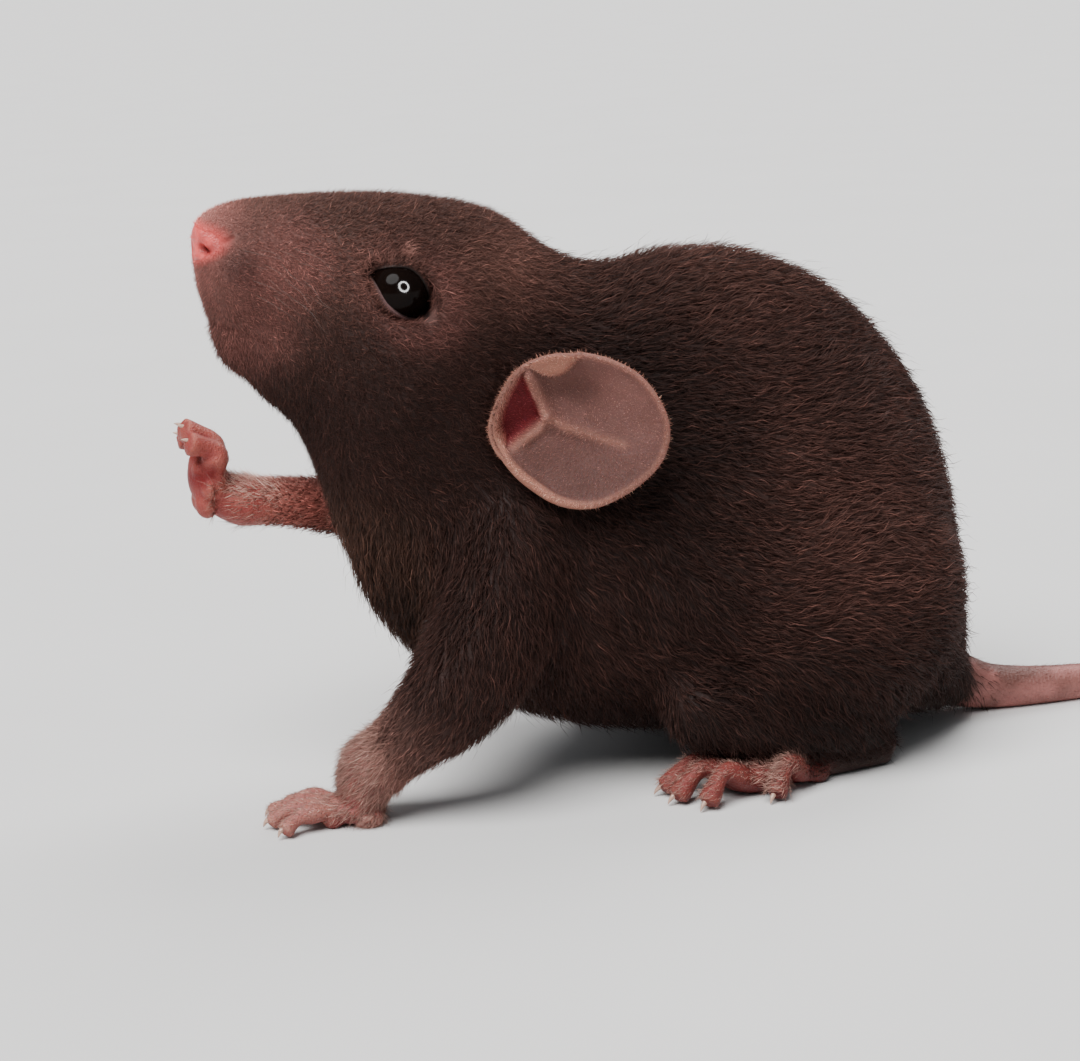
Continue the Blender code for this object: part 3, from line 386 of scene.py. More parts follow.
def painted(obj, name, colours):
    """A colour for each point of a piece, kept as an attribute of its mesh."""
    rows = np.ones((len(colours), 4), np.float32)
    rows[:, :3] = np.clip(colours, 0.0, 1.0)
    kept = obj.data.color_attributes.new(name, "FLOAT_COLOR", "POINT")
    kept.data.foreach_set("color", rows.ravel())


class Shade:
    """A value inside a material. Sums and products of it add the nodes that work them out."""

    def __init__(self, finish, socket):
        self.finish, self.socket = finish, socket

    def maths(self, operation, first, second):
        return self.finish.node("ShaderNodeMath", {"operation": operation}, {0: first, 1: second})

    def __add__(self, other):
        return self.maths("ADD", self, other)

    def __mul__(self, other):
        return self.maths("MULTIPLY", self, other)

    __radd__ = __add__
    __rmul__ = __mul__


class Finish:
    """A material in the making: constants on its surface's sockets, then what varies over it."""

    def __init__(self, name, **constants):
        self.material = bpy.data.materials.new(name)
        self.material.use_nodes = True
        self.tree = self.material.node_tree
        self.surface = self.tree.nodes["Principled BSDF"]
        for socket, value in constants.items():
            self.surface.inputs[socket.replace("_", " ")].default_value = value

    def node(self, kind, settings, inputs, output=0):
        """A node of a kind, with its settings, and values or links for its sockets."""
        made = self.tree.nodes.new(kind)
        for setting, value in settings.items():
            setattr(made, setting, value)
        for socket, value in inputs.items():
            self.give(made.inputs[socket], value)
        return Shade(self, made.outputs[output])

    def give(self, socket, value):
        """A value or a link for one socket."""
        if isinstance(value, Shade):
            self.tree.links.new(value.socket, socket)
        elif socket.type == "RGBA":
            socket.default_value = (*value, 1.0)
        else:
            socket.default_value = value

    def grain(self, size):
        """Noise whose features are this many millimetres across, from the piece's own place."""
        place = self.node("ShaderNodeTexCoord", {}, {}, "Object")
        return self.node(
            "ShaderNodeTexNoise", {},
            {"Vector": place, "Scale": 1.0 / (size * MM), "Detail": 3.0, "Roughness": 0.55},
        )

    def cells(self, size):
        """The distance to the nearest of many scattered points, this many millimetres apart."""
        place = self.node("ShaderNodeTexCoord", {}, {}, "Object")
        return self.node("ShaderNodeTexVoronoi", {}, {"Vector": place, "Scale": 1.0 / (size * MM)})

    def mix(self, share, first, second):
        """A colour between two colours."""
        return self.node("ShaderNodeMix", {"data_type": "RGBA"}, {0: share, 6: first, 7: second}, 2)

    def tinted(self, colour, strength):
        """A colour made lighter and darker by a value round one."""
        return self.node("ShaderNodeVectorMath", {"operation": "SCALE"}, {0: colour, "Scale": strength})

    def marked(self, name):
        """The colour that the piece's points carry."""
        return self.node("ShaderNodeAttribute", {"attribute_name": name}, {}, "Color")

    def worn(self, colour, roughness=None, height=None, depth=None):
        """Links what varies over the surface, with height as bumps so many millimetres deep."""
        self.give(self.surface.inputs["Base Color"], colour)
        if roughness is not None:
            self.give(self.surface.inputs["Roughness"], roughness)
        if height is not None:
            bump = self.node("ShaderNodeBump", {},
                             {"Height": height, "Strength": 1.0, "Distance": depth * MM})
            self.give(self.surface.inputs["Normal"], bump)
        return self.material


def finished(obj, material, slot, *nodes):
    """Sets a piece's material, hangs it from the body's root and hides the frame's nodes that it replaces;
    its slot is not used.
    """
    obj.data.materials.append(material)
    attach(obj, "root")
    if nodes:
        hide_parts(*nodes)


def finer(points, faces, radius, rounds):
    """The skin with each face this near the nose cut in four, then relaxed there: its points,
    its faces of any number of corners for the next cut, and its triangles."""
    form = bmesh.new()
    mesh = put("finer", points, *faces)
    form.from_mesh(mesh.data)
    form.verts.ensure_lookup_table()
    near = np.linalg.norm(points - NOSE, axis=1) < radius
    cut = [edge for edge in form.edges if near[edge.verts[0].index] and near[edge.verts[1].index]]
    bmesh.ops.subdivide_edges(form, edges=cut, cuts=1, use_grid_fill=True)
    form.to_mesh(mesh.data)
    form.free()
    points = points_of(mesh.data)
    edges = numbers_of(mesh.data.edges, "vertices", 2)
    inner = ramp(-np.linalg.norm(points - NOSE, axis=1), -radius, 1.0 - radius)[:, None]
    points = points * (1.0 - inner) + relaxed(points, edges, rounds) * inner
    corners = numbers_of(mesh.data.loops, "vertex_index", 1).ravel()
    starts = numbers_of(mesh.data.polygons, "loop_start", 1).ravel()
    sizes = numbers_of(mesh.data.polygons, "loop_total", 1).ravel()
    faces = [corners[starts[sizes == n][:, None] + np.arange(n)] for n in np.unique(sizes)]
    mesh.data.calc_loop_triangles()
    triangles = numbers_of(mesh.data.loop_triangles, "vertices", 3)
    bpy.data.objects.remove(mesh)
    return points, faces, triangles


def muzzle_relief(points, at, away):
    """How far the muzzle's skin stands out of its smooth form: nostrils, split lip, mouth, pads."""
    folded = folded_over(points, NOSE[1])
    x, s, z = folded.T
    relief = -(1.05 - 0.75 * ramp(at, 0.0, 0.5)) * np.exp(-((away / (0.4 - 0.18 * at)) ** 2))
    relief += 0.42 * hill(radii_off(folded, NOSTRIL_WING, 1.0), 0.0, 1.0)
    relief += 0.3 * hill(radii_off(folded, (-32.5, 2.3, 54.1), (1.0, 1.6, 0.45)), 0.0, 1.0)
    front = 1.0 - ramp(x, -31.5, -29.5)
    relief -= 0.45 * hill(s, 0.0, 0.3) * front * (1.0 - ramp(z, 55.0, 56.0)) * ramp(z, 47.6, 48.4)
    relief += 0.35 * hill(s, 1.1, 1.0) * front * hill(z, 50.6, 2.0)
    along, off = along_path(np.stack((x, z), axis=1), MOUTH)
    lips = 1.0 - ramp(along, 0.75, 1.0)
    relief -= 0.14 * lips * np.exp(-((off / 0.22) ** 2))
    relief += 0.1 * lips * np.exp(-(((off - 0.75) / 0.5) ** 2))
    relief += 0.75 * hill(radii_off(folded, (-30.8, 0.0, 46.2), (2.4, 3.4, 2.6)), 0.0, 1.0)
    rows = 0.5 + 0.5 * np.cos(2.0 * math.pi * (x - 0.25 * z) / PAD_ROW_GAP)
    pads = hill(x, -26.5, 3.6) * hill(z, 53.8, 3.2) * ramp(s, 2.0, 3.5)
    return relief + 0.09 * rows * pads


def pad_share(points):
    """One on the bare pad of the nose, and zero off it."""
    off = radii_off(folded_over(points, NOSE[1]), (-33.4, 0.0, 55.5), (3.1, 4.3, 1.6))
    return 1.0 - ramp(off, 0.92, 1.08)


NOSTRIL = ((-32.75, 1.8, 55.15), (-32.5, 2.0, 54.85), (-32.15, 2.4, 54.8), (-31.7, 2.9, 54.98),
           (-31.2, 3.4, 55.35), (-30.8, 3.7, 55.75), (-30.4, 3.95, 56.15))
NOSTRIL_WING = (-32.8, 2.1, 56.3)
PAD_ROW_GAP = 1.15
skin_points, skin_faces, skin_edges = melted(node_meshes(FLESH), SWELL, SKIN_VOXEL, SKIN_ROUNDS)
skin_normals = normals_of(skin_points, skin_faces)
skin_points = skin_points - skin_normals * (SWELL + coat_depth(skin_points))[:, None]
skin_points = relaxed(skin_points, skin_edges, 3)
skin_polygons = [skin_faces]
for radius, rounds in ((14.0, 6), (8.5, 14)):
    skin_points, skin_polygons, skin_faces = finer(skin_points, skin_polygons, radius, rounds)
skin_normals = normals_of(skin_points, skin_faces)
folded = folded_over(skin_points, NOSE[1])
nostril = np.array([folded[np.linalg.norm(folded - place, axis=1).argmin()] for place in NOSTRIL])
at_nostril, off_nostril = along_path(folded, nostril)
relief = muzzle_relief(skin_points, at_nostril, off_nostril)
skin_points = skin_points + skin_normals * relief[:, None]
skin_normals = normals_of(skin_points, skin_faces)
pad_on = pad_share(skin_points)
sunk = skin_points - skin_normals * (0.3 * ramp(pad_on, 0.6, 1.0))[:, None]
socket = 0.7 * (1.0 - ramp(past_opening(skin_points), 0.45, 1.0))
sunk[:, 1] -= np.sign(sunk[:, 1] - EYE_MIDDLE_Y) * socket
skin = put("skin", sunk, *skin_polygons)
bare = 0.25 * (1.0 - ramp(np.linalg.norm(skin_points - NOSE, axis=1), 6.0, 16.0))
bare += 0.5 * flush_share(skin_points) ** 2 + 0.5 * ramp(arm_share(skin_points, RIGHT_ARM), 0.35, 0.85)
# The skin's colour is halved under the fur as painted shade from the coat over it, and kept full where it is
# bare.
painted(skin, "markings", markings(skin_points) * np.minimum(0.5 + bare, 1.0)[:, None])
hide = Finish("hide", Roughness=0.6, Specular_IOR_Level=0.2)
finished(skin, hide.worn(hide.tinted(hide.marked("markings"), 0.75 + 0.5 * hide.grain(0.7)),
                         0.55 + 0.25 * hide.grain(0.6), hide.cells(0.22) + 0.8 * hide.grain(0.15), 0.05),
         "coat", *FLESH)

# The eyes: glossy black balls that stand well out of the face, under lids.
# Each is a wet, clear cornea over a brown so dark that it reads as black.
# A ball swells a little at the front, as a rat's does.
EYE_ROWS, EYE_COLUMNS = 40, 64
EYE_BULGE = 0.18
EYE_BLACK = (0.002, 0.001, 0.001)
EYE_BROWN = (0.006, 0.003, 0.002)


def ball(centre, radii, turn=np.eye(3), rows=24, columns=32):
    """Points and faces of an ellipsoid: rings of latitude about its own z axis, closed at poles."""
    tilt = np.linspace(0.0, math.pi, rows + 1)[1:-1, None]
    round_ = np.arange(columns) * 2 * math.pi / columns
    ring = np.stack((np.sin(tilt) * np.cos(round_), np.sin(tilt) * np.sin(round_),
                     np.cos(tilt) + 0 * round_), axis=-1).reshape(-1, 3)
    unit_points = np.concatenate([[(0.0, 0.0, 1.0)], ring, [(0.0, 0.0, -1.0)]])
    points = (unit_points * radii) @ np.asarray(turn).T + centre
    walls, caps = ring_faces(rows - 1, columns)
    return points, walls, caps


def ring_faces(rings, columns):
    """Faces of stacked rings of points, with one point before the first and one after the last."""
    start = 1 + np.arange(rings)[:, None] * columns
    near = start + np.arange(columns)
    far = start + (np.arange(columns) + 1) % columns
    walls = np.stack((near[:-1], near[1:], far[1:], far[:-1]), axis=-1).reshape(-1, 4)
    last = np.full(columns, rings * columns + 1)
    caps = np.concatenate([
        np.stack((0 * near[0], near[0], far[0]), axis=-1),
        np.stack((last, far[-1], near[-1]), axis=-1),
    ])
    return walls, caps


cornea = Finish("cornea", Roughness=0.03, Specular_IOR_Level=0.055)
cloud = cornea.grain(1.5)
cornea_finish = cornea.worn(cornea.mix(cloud, EYE_BLACK, EYE_BROWN), 0.07 + 0.05 * cloud)
for name, side in SIDES.items():
    outward = unit((-0.35, side * 0.93, 0.1))
    across = unit(np.cross((0.0, 0.0, 1.0), outward))
    turn = np.stack((across, np.cross(outward, across), outward), axis=1)
    place = (EYE[0], EYE_MIDDLE_Y + side * (EYE_MIDDLE_Y - EYE[1]), EYE[2])
    points, walls, caps = ball(place, (EYE_RADIUS,) * 3, turn, EYE_ROWS, EYE_COLUMNS)
    out = (points - place) @ outward / EYE_RADIUS
    points = points + outward * (EYE_BULGE * ramp(out, 0.55, 1.0))[:, None]
    finished(put(f"eyeball_{name}", points, walls, caps), cornea_finish, "eyes", f"eye_{name}")

# The lids: a soft rim of bare dark skin round each eye, drawn to a corner towards the nose.
# They are skin, with a thin pale edge that touches the eyeball.
# Each is a ring of rows from that edge out over a dome, down into the skin round the socket.
LID_COLUMNS = 120
LID_ROWS = np.array(((0.97, -0.14), (0.985, -0.02), (1.0, 0.06), (1.03, 0.13), (1.06, 0.17),
                     (1.1, 0.2), (1.16, 0.2), (1.24, 0.17), (1.36, 0.1), (1.5, 0.0)))
LID_REACH = 2.4
LID_THICKNESS = 0.3
LID_SKIN_BLUR = 0.45
LID_WET = linear(14, 8, 7)
LID_EDGE = linear(112, 84, 84)


def side_of_skin(x, z, side):
    """How far out the skin lies at places seen from one side, as a mean weighted by nearness."""
    near = (np.abs(skin_points[:, 0] - EYE[0]) < 9) & (np.abs(skin_points[:, 2] - EYE[2]) < 9)
    near &= side * (skin_points[:, 1] - EYE_MIDDLE_Y) > 1.0
    near &= side * skin_normals[:, 1] > 0.05
    px, py, pz = skin_points[near].T
    away = (x.ravel()[:, None] - px) ** 2 + (z.ravel()[:, None] - pz) ** 2
    weight = np.exp(-away / LID_SKIN_BLUR**2) + 1e-12
    return (weight @ py / weight.sum(axis=1)).reshape(x.shape)


angle = np.arange(LID_COLUMNS) * 2 * math.pi / LID_COLUMNS
lid_skin = Finish("lid_skin", Roughness=0.5, Specular_IOR_Level=0.15)
lid_tint = lid_skin.tinted(lid_skin.marked("markings"), 0.8 + 0.4 * lid_skin.grain(0.5))
lid_finish = lid_skin.worn(lid_tint, 0.35 + 0.25 * lid_skin.grain(0.3),
                           lid_skin.cells(0.16) + lid_skin.grain(0.12), 0.05)
lids = {}
for name, side in SIDES.items():
    reach = opening(angle)
    reach = 0.5 * reach + 0.25 * (np.roll(reach, 1) + np.roll(reach, -1))
    stretch, lift = LID_ROWS.T[:, :, None]
    far_out = reach + (stretch - 1.0) * np.maximum(LID_REACH, 2.0 * (3.6 - reach))
    dx, dz = far_out * np.cos(angle), far_out * np.sin(angle)
    eye_out = EYE_MIDDLE_Y - EYE[1]
    dome = np.sqrt(np.maximum((EYE_RADIUS + lift) ** 2 - dx**2 - dz**2, 0.05)) + eye_out
    seen = side * (side_of_skin(EYE[0] + dx, EYE[2] + dz, side) - EYE_MIDDLE_Y)
    pocket = ramp(reach, 2.9, 3.3)
    dome = dome * (1.0 - pocket) + np.maximum(dome, seen - 0.15 + 0.3 * (stretch - 1.0)) * pocket
    rim = ramp(stretch, 1.08, 1.3)
    height = dome * (1.0 - rim) + np.maximum(dome, seen + 0.1) * rim
    sink = ramp(stretch, 1.24, 1.5)
    height = height * (1.0 - sink) + (seen - 0.3) * sink
    clear = EYE_RADIUS + 0.1
    covered = np.sqrt(np.maximum(clear**2 - far_out**2, 0.0)) + eye_out
    height = np.where((far_out < clear) & (stretch > 1.0), np.maximum(height, covered), height)
    points = np.stack((EYE[0] + dx, EYE_MIDDLE_Y + side * height, EYE[2] + dz), axis=-1)
    rows = len(points)
    near = np.arange(rows * LID_COLUMNS).reshape(rows, LID_COLUMNS)
    far = np.roll(near, -1, axis=1)
    faces = np.stack((near[:-1], near[1:], far[1:], far[:-1]), axis=-1).reshape(-1, 4)
    flat = points.reshape(-1, 3)
    if side * normals_of(flat, faces)[len(flat) // 2, 1] < 0:
        faces = faces[:, ::-1]
    normals = normals_of(flat, faces)
    both = np.concatenate([flat, flat - LID_THICKNESS * normals])
    inner, outer = (np.stack((near[row], far[row], far[row] + len(flat), near[row] + len(flat)), axis=-1)
                    for row in (0, -1))
    toward = np.array((EYE[0], EYE_MIDDLE_Y + side * eye_out, EYE[2])) - flat[near[0]]
    if np.sum(normals_of(both, inner)[near[0]] * toward, axis=1).mean() < 0:
        inner = inner[:, ::-1]
    else:
        outer = outer[:, ::-1]
    lid = put(f"lid_{name}", both, np.concatenate([faces, faces[:, ::-1] + len(flat), inner, outer]))
    below = np.maximum(0.0, np.cos(angle - math.radians(-120.0))) ** 0.7
    pale = (hill(stretch, 1.07, 0.045) * below).ravel()
    stretches = (stretch + 0 * angle).ravel()
    by_rim = 0.7 * (1.0 - ramp(stretches, 1.06, 1.2))
    lid_colour = blended(0.5 * markings(flat), DARK_SKIN_AND_SHADE * 0.5, by_rim)
    lid_colour = blended(lid_colour, LID_EDGE, 0.75 * pale)
    lid_colour = blended(lid_colour, LID_WET, 1.0 - ramp(stretches, 1.015, 1.045))
    painted(lid, "markings", np.concatenate([lid_colour, lid_colour]))
    finished(lid, lid_finish, "coat")
    triangles = np.concatenate([faces[:, :3], faces[:, (0, 2, 3)]])
    lids[name] = (flat, triangles, normals, stretches)

# The nose: a small bare pink pad with smile-shaped nostrils, over the split of the upper lip.
# It is moist, finely pebbled skin.
# The skin's own faces there are lifted off as a closed shell with a thin back.
PAD_THICKNESS = 0.45
# The red lining of the nostril, darkened by painted shade.
NOSTRIL_SHADE = linear(66, 4, 9)


def shell(points, faces, normals, thickness):
    """A closed shell from a patch of triangles: a front, a back and a wall round every edge."""
    used, inverse = np.unique(faces, return_inverse=True)
    faces = inverse.reshape(faces.shape)
    count = len(used)
    sides = np.concatenate([faces[:, [0, 1]], faces[:, [1, 2]], faces[:, [2, 0]]])
    key = np.sort(sides, axis=1) @ (count, 1)
    _, first, times = np.unique(key, return_index=True, return_counts=True)
    open_sides = sides[first[times == 1]]
    walls = np.column_stack((open_sides[:, ::-1], open_sides + count))
    both = np.concatenate([points[used], points[used] - thickness * normals[used]])
    return both, walls, np.concatenate([faces, faces[:, ::-1] + count]), used


pad_faces = skin_faces[(pad_on[skin_faces] > 0.02).all(axis=1)]
lifted = 0.03 * pad_on - 0.12 * (pad_on < 0.12)
pad_points, pad_walls, pad_tris, pad_used = shell(
    skin_points + skin_normals * lifted[:, None], pad_faces, skin_normals, PAD_THICKNESS
)
nose = put("nose_pad", pad_points, pad_walls, pad_tris)
# Painted shade along the nostril's groove, deepest at its pit.
nostril_shade = np.exp(-((off_nostril / (0.42 - 0.16 * at_nostril)) ** 2))
nostril_shade *= 1.0 - 0.4 * ramp(at_nostril, 0.5, 1.0)
flush = blended(markings(skin_points[pad_used]), NOSTRIL_SHADE, nostril_shade[pad_used])
flush *= (1.0 + 0.3 * noise(skin_points[pad_used], 0.5, 5))[:, None]
painted(nose, "flush", np.concatenate([flush, flush]))
pad = Finish("nose_skin", Roughness=0.4, Specular_IOR_Level=0.4)
finished(nose, pad.worn(pad.tinted(pad.marked("flush"), 0.85 + 0.3 * pad.grain(0.3)),
                        0.26 + 0.25 * pad.grain(0.2), pad.cells(0.17) + 0.5 * pad.grain(0.1), 0.06),
         "bare_skin")

# The ears: round, thin dumbo ears set low, each a cup that sinks to a dark funnel at its root.
# They are skin and gristle, brownish pink inside, with a pale thick rim and fine down.
# Each is a height over its own plane, given a front, a rolled rim and a back.
EAR_MIDDLE = (-0.9, 15.5, 37.5)
EAR_ALONG = (0.9, 0.43, 0.0)
EAR_UP = (0.05, 0.02, 1.0)
EAR_REACH = np.array((7.45, 7.05, 6.9, 6.78, 6.95, 7.8, 8.5, 8.7,
                      9.4, 8.3, 7.6, 7.5, 7.35, 6.85, 6.85, 7.35))
EAR_FOLD_CORNER = np.array((-4.2, 0.6))
EAR_FOLD_TOP = np.array((-5.45, 5.0))
EAR_FOLD_FOOT = np.array((-7.9, -2.2))
EAR_CREASE = np.array(((-5.45, 5.0), (-4.5, 2.0), (-4.1, 1.0), (-2.6, 0.0), (0.8, -1.3), (3.0, -1.8)))
EAR_FOLD = np.array(((-4.1, 1.0), (-5.0, -0.2), (-7.5, -1.8)))
EAR_THICKNESS = 0.17
EAR_COLUMNS, EAR_RINGS = 150, 52
EAR_ROSE = linear(112, 77, 71)
EAR_PALE = linear(162, 112, 96)
EAR_BROWN = linear(62, 36, 30)
EAR_RED = linear(136, 52, 58)
EAR_LIGHT = 0.82


def ear_axes(side):
    """The middle of an ear's plane, and the ways along it, up it and out of its cup."""
    along = unit((EAR_ALONG[0], side * EAR_ALONG[1], EAR_ALONG[2]))
    up = np.array((EAR_UP[0], side * EAR_UP[1], EAR_UP[2]))
    up = unit(up - along * (up @ along))
    middle = np.array((EAR_MIDDLE[0], side * EAR_MIDDLE[1], EAR_MIDDLE[2]))
    return middle, along, up, side * np.cross(up, along)


def inside_fold(a, b):
    """How far inside the two lines of the fold that walls the funnel a place of the ear lies."""
    found = []
    for end, turn in ((EAR_FOLD_TOP, 1.0), (EAR_FOLD_FOOT, -1.0)):
        way = unit(end - EAR_FOLD_CORNER)
        found.append(turn * ((b - EAR_FOLD_CORNER[1]) * way[0] - (a - EAR_FOLD_CORNER[0]) * way[1]))
    return np.minimum(*found)


def ear_flap(a, b):
    """One on the lobe that folds down over the top of the cup, above a parabola."""
    over = b - 5.15 - 1.8 * ((a + 3.2) / 2.5) ** 2
    return ramp(over, -0.2, 0.35) * (1.0 - ramp(a, -0.8, 0.8)) * ramp(a, -6.5, -5.0)


def ear_ridge(a, b):
    """How near a place of the ear is to the tops of its crease and fold."""
    flat = np.stack((a, b), axis=-1).reshape(-1, 2)
    away = np.minimum(along_path(flat, EAR_CREASE)[1], along_path(flat, EAR_FOLD)[1])
    return np.exp(-((away / 0.4) ** 2)).reshape(a.shape)


def ear_height(a, b, share):
    """Height of the cup: share^2 for the bowl, less the walled funnel, plus folds, flap and rim."""
    funnel = 2.8 * ramp(inside_fold(a, b), -0.25, 1.5) * np.minimum(1.0, 22.0 * (1.0 - share))
    height = 2.3 * (share**2 - 1.0) - funnel
    flat = np.stack((a, b, 0 * a), axis=-1).reshape(-1, 3)
    for path, rise, width, fade in ((EAR_CREASE, 0.85, 0.7, 0.3), (EAR_FOLD, 0.5, 0.45, 0.6)):
        at, away = along_path(flat[:, :2], path)
        ridge = rise * np.exp(-((away / width) ** 2)) * (1.0 - ramp(at, fade, 1.0))
        height = height + ridge.reshape(a.shape)
    height = height - 0.8 * hill(a, -1.8, 2.4) * hill(b, 3.2, 1.7)
    height = height + 1.3 * ear_flap(a, b) + 0.12 * hill(share, 0.985, 0.03)
    return height + 0.2 * noise(flat, 2.6, 8).reshape(a.shape) * ramp(share, 0.0, 0.5)


def with_middle(first, grid):
    """A number for each point of an ear: its middle's own, then those of the rings outwards."""
    return np.concatenate([[first], np.broadcast_to(grid, (EAR_RINGS, EAR_COLUMNS)).ravel()])


ear_skin = Finish("ear_skin", Roughness=0.6, Specular_IOR_Level=0.14, Subsurface_Weight=0.2,
                  Subsurface_Scale=0.0008)
ear_tint = ear_skin.tinted(ear_skin.marked("flush"), 0.82 + 0.36 * ear_skin.grain(0.7))
ear_finish = ear_skin.worn(ear_tint, 0.55 + 0.2 * ear_skin.grain(0.5),
                           ear_skin.grain(0.35) + 0.5 * ear_skin.cells(0.22), 0.09)
ears = {}
for name, side in SIDES.items():
    middle, along, up, face = ear_axes(side)
    angle = np.arange(EAR_COLUMNS) * 2 * math.pi / EAR_COLUMNS
    steps = np.arange(len(EAR_REACH) + 1) * 2 * math.pi / len(EAR_REACH)
    reach = np.interp(angle, steps, np.append(EAR_REACH, EAR_REACH[0]))
    for _ in range(12):
        reach = 0.5 * reach + 0.25 * (np.roll(reach, 1) + np.roll(reach, -1))
    share = (np.arange(1, EAR_RINGS + 1) / EAR_RINGS)[:, None]
    a, b = reach * share * np.cos(angle), reach * share * np.sin(angle)
    c = ear_height(a, b, share + 0 * angle)
    sheet = middle + a[..., None] * along + b[..., None] * up + c[..., None] * face
    centre = middle + ear_height(*np.zeros((3, 1, 1))) * face
    walls, caps = ring_faces(EAR_RINGS, EAR_COLUMNS)
    whole = np.concatenate([centre, sheet.reshape(-1, 3)])
    fan = caps[:EAR_COLUMNS]
    normals = normals_of(whole, np.concatenate([walls, np.column_stack((fan, fan[:, 0]))]))
    normals = normals * np.sign((normals @ face).mean())
    lower = np.clip(-np.cos(angle - 0.75), 0.0, 1.0) ** 2
    thick = EAR_THICKNESS + (0.02 + 0.3 * lower**2) * ramp(share, 0.88, 0.98)
    thick = with_middle(EAR_THICKNESS, thick)[:, None]
    front, back = whole + thick * normals, whole - thick * normals
    edge, count = sheet[-1], len(whole)
    outward, over = unit(edge - middle), normals[-EAR_COLUMNS:]
    rolls = [edge + thick[-EAR_COLUMNS:] * (math.cos(turn) * over + math.sin(turn) * outward)
             for turn in np.linspace(0.0, math.pi, 7)[1:-1]]
    points = np.concatenate([front, *rolls, back])
    back_start = count + len(rolls) * EAR_COLUMNS
    starts = [*range(count - EAR_COLUMNS, back_start, EAR_COLUMNS), back_start + count - EAR_COLUMNS]
    rim = [np.arange(start, start + EAR_COLUMNS) for start in starts]
    strips = [np.stack((p, q, np.roll(q, -1), np.roll(p, -1)), axis=-1) for p, q in zip(rim, rim[1:])]
    quads = np.concatenate([walls, *strips, walls[:, ::-1] + back_start])
    tris = np.concatenate([fan, fan[:, ::-1] + back_start])
    if normals_of(points, walls)[count // 2] @ face < 0:
        quads, tris = quads[:, ::-1], tris[:, ::-1]
    ear = put(f"ear_cup_{name}", points, quads, tris)
    to_edge = with_middle(9.0, (1.0 - share) * reach)
    shares = with_middle(0.0, share)
    deep = with_middle(0.0, ramp(inside_fold(a, b), 0.0, 1.0)) * ramp(to_edge, 0.08, 0.3)
    mottle = ramp(noise(whole, 3.2, 11), -0.3, 0.5) * (1.0 - ramp(shares, 0.8, 0.95))
    # The inside is drawn lighter towards the top of the ear: painted light from above.
    inside = EAR_ROSE * (0.65 + 0.5 * with_middle(0.0, ramp(b, -5.0, 5.0)))[:, None]
    inside = blended(inside, EAR_BROWN, 0.35 * mottle)
    # Painted highlights along the tops of the crease and the fold.
    inside = blended(inside, EAR_PALE, 0.35 * with_middle(0.0, ear_ridge(a, b)))
    # The folded lobe is paler: partly the pale rim's own colour and partly painted light on the top of the
    # ear.
    inside = blended(inside, EAR_PALE, 0.9 * with_middle(0.0, ear_flap(a, b)))
    inside = blended(inside, EAR_RED, 0.95 * deep)
    by_rim = (0.3 + 0.6 * with_middle(0.0, lower)) * (1.0 - ramp(to_edge, 0.08, 0.5))
    inside = blended(inside, EAR_PALE, by_rim)
    backside = blended(np.tile(EAR_BROWN, (count, 1)), EAR_PALE, 0.5 * ramp(shares, 0.9, 0.99))
    rimside = blended(np.tile(EAR_ROSE, (EAR_COLUMNS, 1)), EAR_PALE, 0.3 + 0.7 * lower)
    painted(ear, "flush", EAR_LIGHT * np.concatenate([inside, np.tile(rimside, (len(rolls), 1)), backside]))
    finished(ear, ear_finish, "ears", f"ear_{name}")
    triangles = np.concatenate([walls[:, :3], walls[:, (0, 2, 3)]])
    unrolled = np.column_stack((with_middle(0.0, a), with_middle(0.0, b)))
    ears[name] = (whole, normals, triangles, thick, unrolled, shares, deep, inside, backside)

# The paws: pink hands with four long fingers, and long hind feet with five toes.
# They are bare skin with fine wrinkles and pads beneath, under a thin down.
# Each is made of tubes for the digits and balls for the pads, melted into one skin.
PAW_VOXEL = 0.18
FLOOR_GAP = 0.02
# Fingers and toes: how far each stands aside, its knuckle, middle joint and tip along the paw,
# and how far it strays aside at its tip.
FINGERS = ((-1.9, 2.6, 5.2, 7.0, -1.9), (-0.7, 3.3, 6.4, 8.6, -0.8),
           (0.7, 3.2, 6.2, 8.3, 0.7), (1.9, 2.3, 4.8, 6.4, 2.3))
TOES = ((-2.2, -3.2, -0.6, 1.4, -2.2), (-1.6, 2.0, 5.6, 8.6, -1.7), (-0.1, 2.4, 6.0, 8.8, -0.2),
        (1.4, 1.8, 4.9, 7.2, 1.4), (2.2, -3.8, -1.4, 0.6, 2.2))
DIGIT_STEPS = 6
PAW_PINK = linear(146, 72, 68)
PAW_PALE = linear(168, 104, 92)
# The red of painted shade in the paws' hollows and under them.
PAW_SHADE_RED = linear(104, 26, 26)
PAW_HAIR = linear(170, 130, 118)
CLAW_BROWN = linear(150, 112, 96)
CLAW_PALE = linear(196, 164, 146)
CLAW_CURVE = ((-0.2, 0.15), (0.4, 0.22), (0.9, 0.2), (1.3, 0.08), (1.65, -0.12), (1.9, -0.35))
CLAW_RADII = 0.27 * (1.0 - np.linspace(0.0, 1.0, 16) ** 2) + 0.03


def tube(path, radii, columns=16):
    """Points and faces of a tube along a path, closed to a point just past both of its ends."""
    way = unit(np.gradient(path, axis=0))
    across = unit(np.cross((0.0, 0.0, 1.0), way))
    over = np.cross(way, across)
    angle = np.arange(columns)[:, None] * 2 * math.pi / columns
    ring = np.cos(angle) * across[:, None] + np.sin(angle) * over[:, None]
    rings = path[:, None] + radii[:, None, None] * ring
    ends = (path[0] - way[0] * radii[0] * 0.5, path[-1] + way[-1] * radii[-1] * 0.5)
    points = np.concatenate([[ends[0]], rings.reshape(-1, 3), [ends[1]]])
    walls, caps = ring_faces(len(path), columns)
    return points, walls[:, ::-1], caps[:, ::-1]


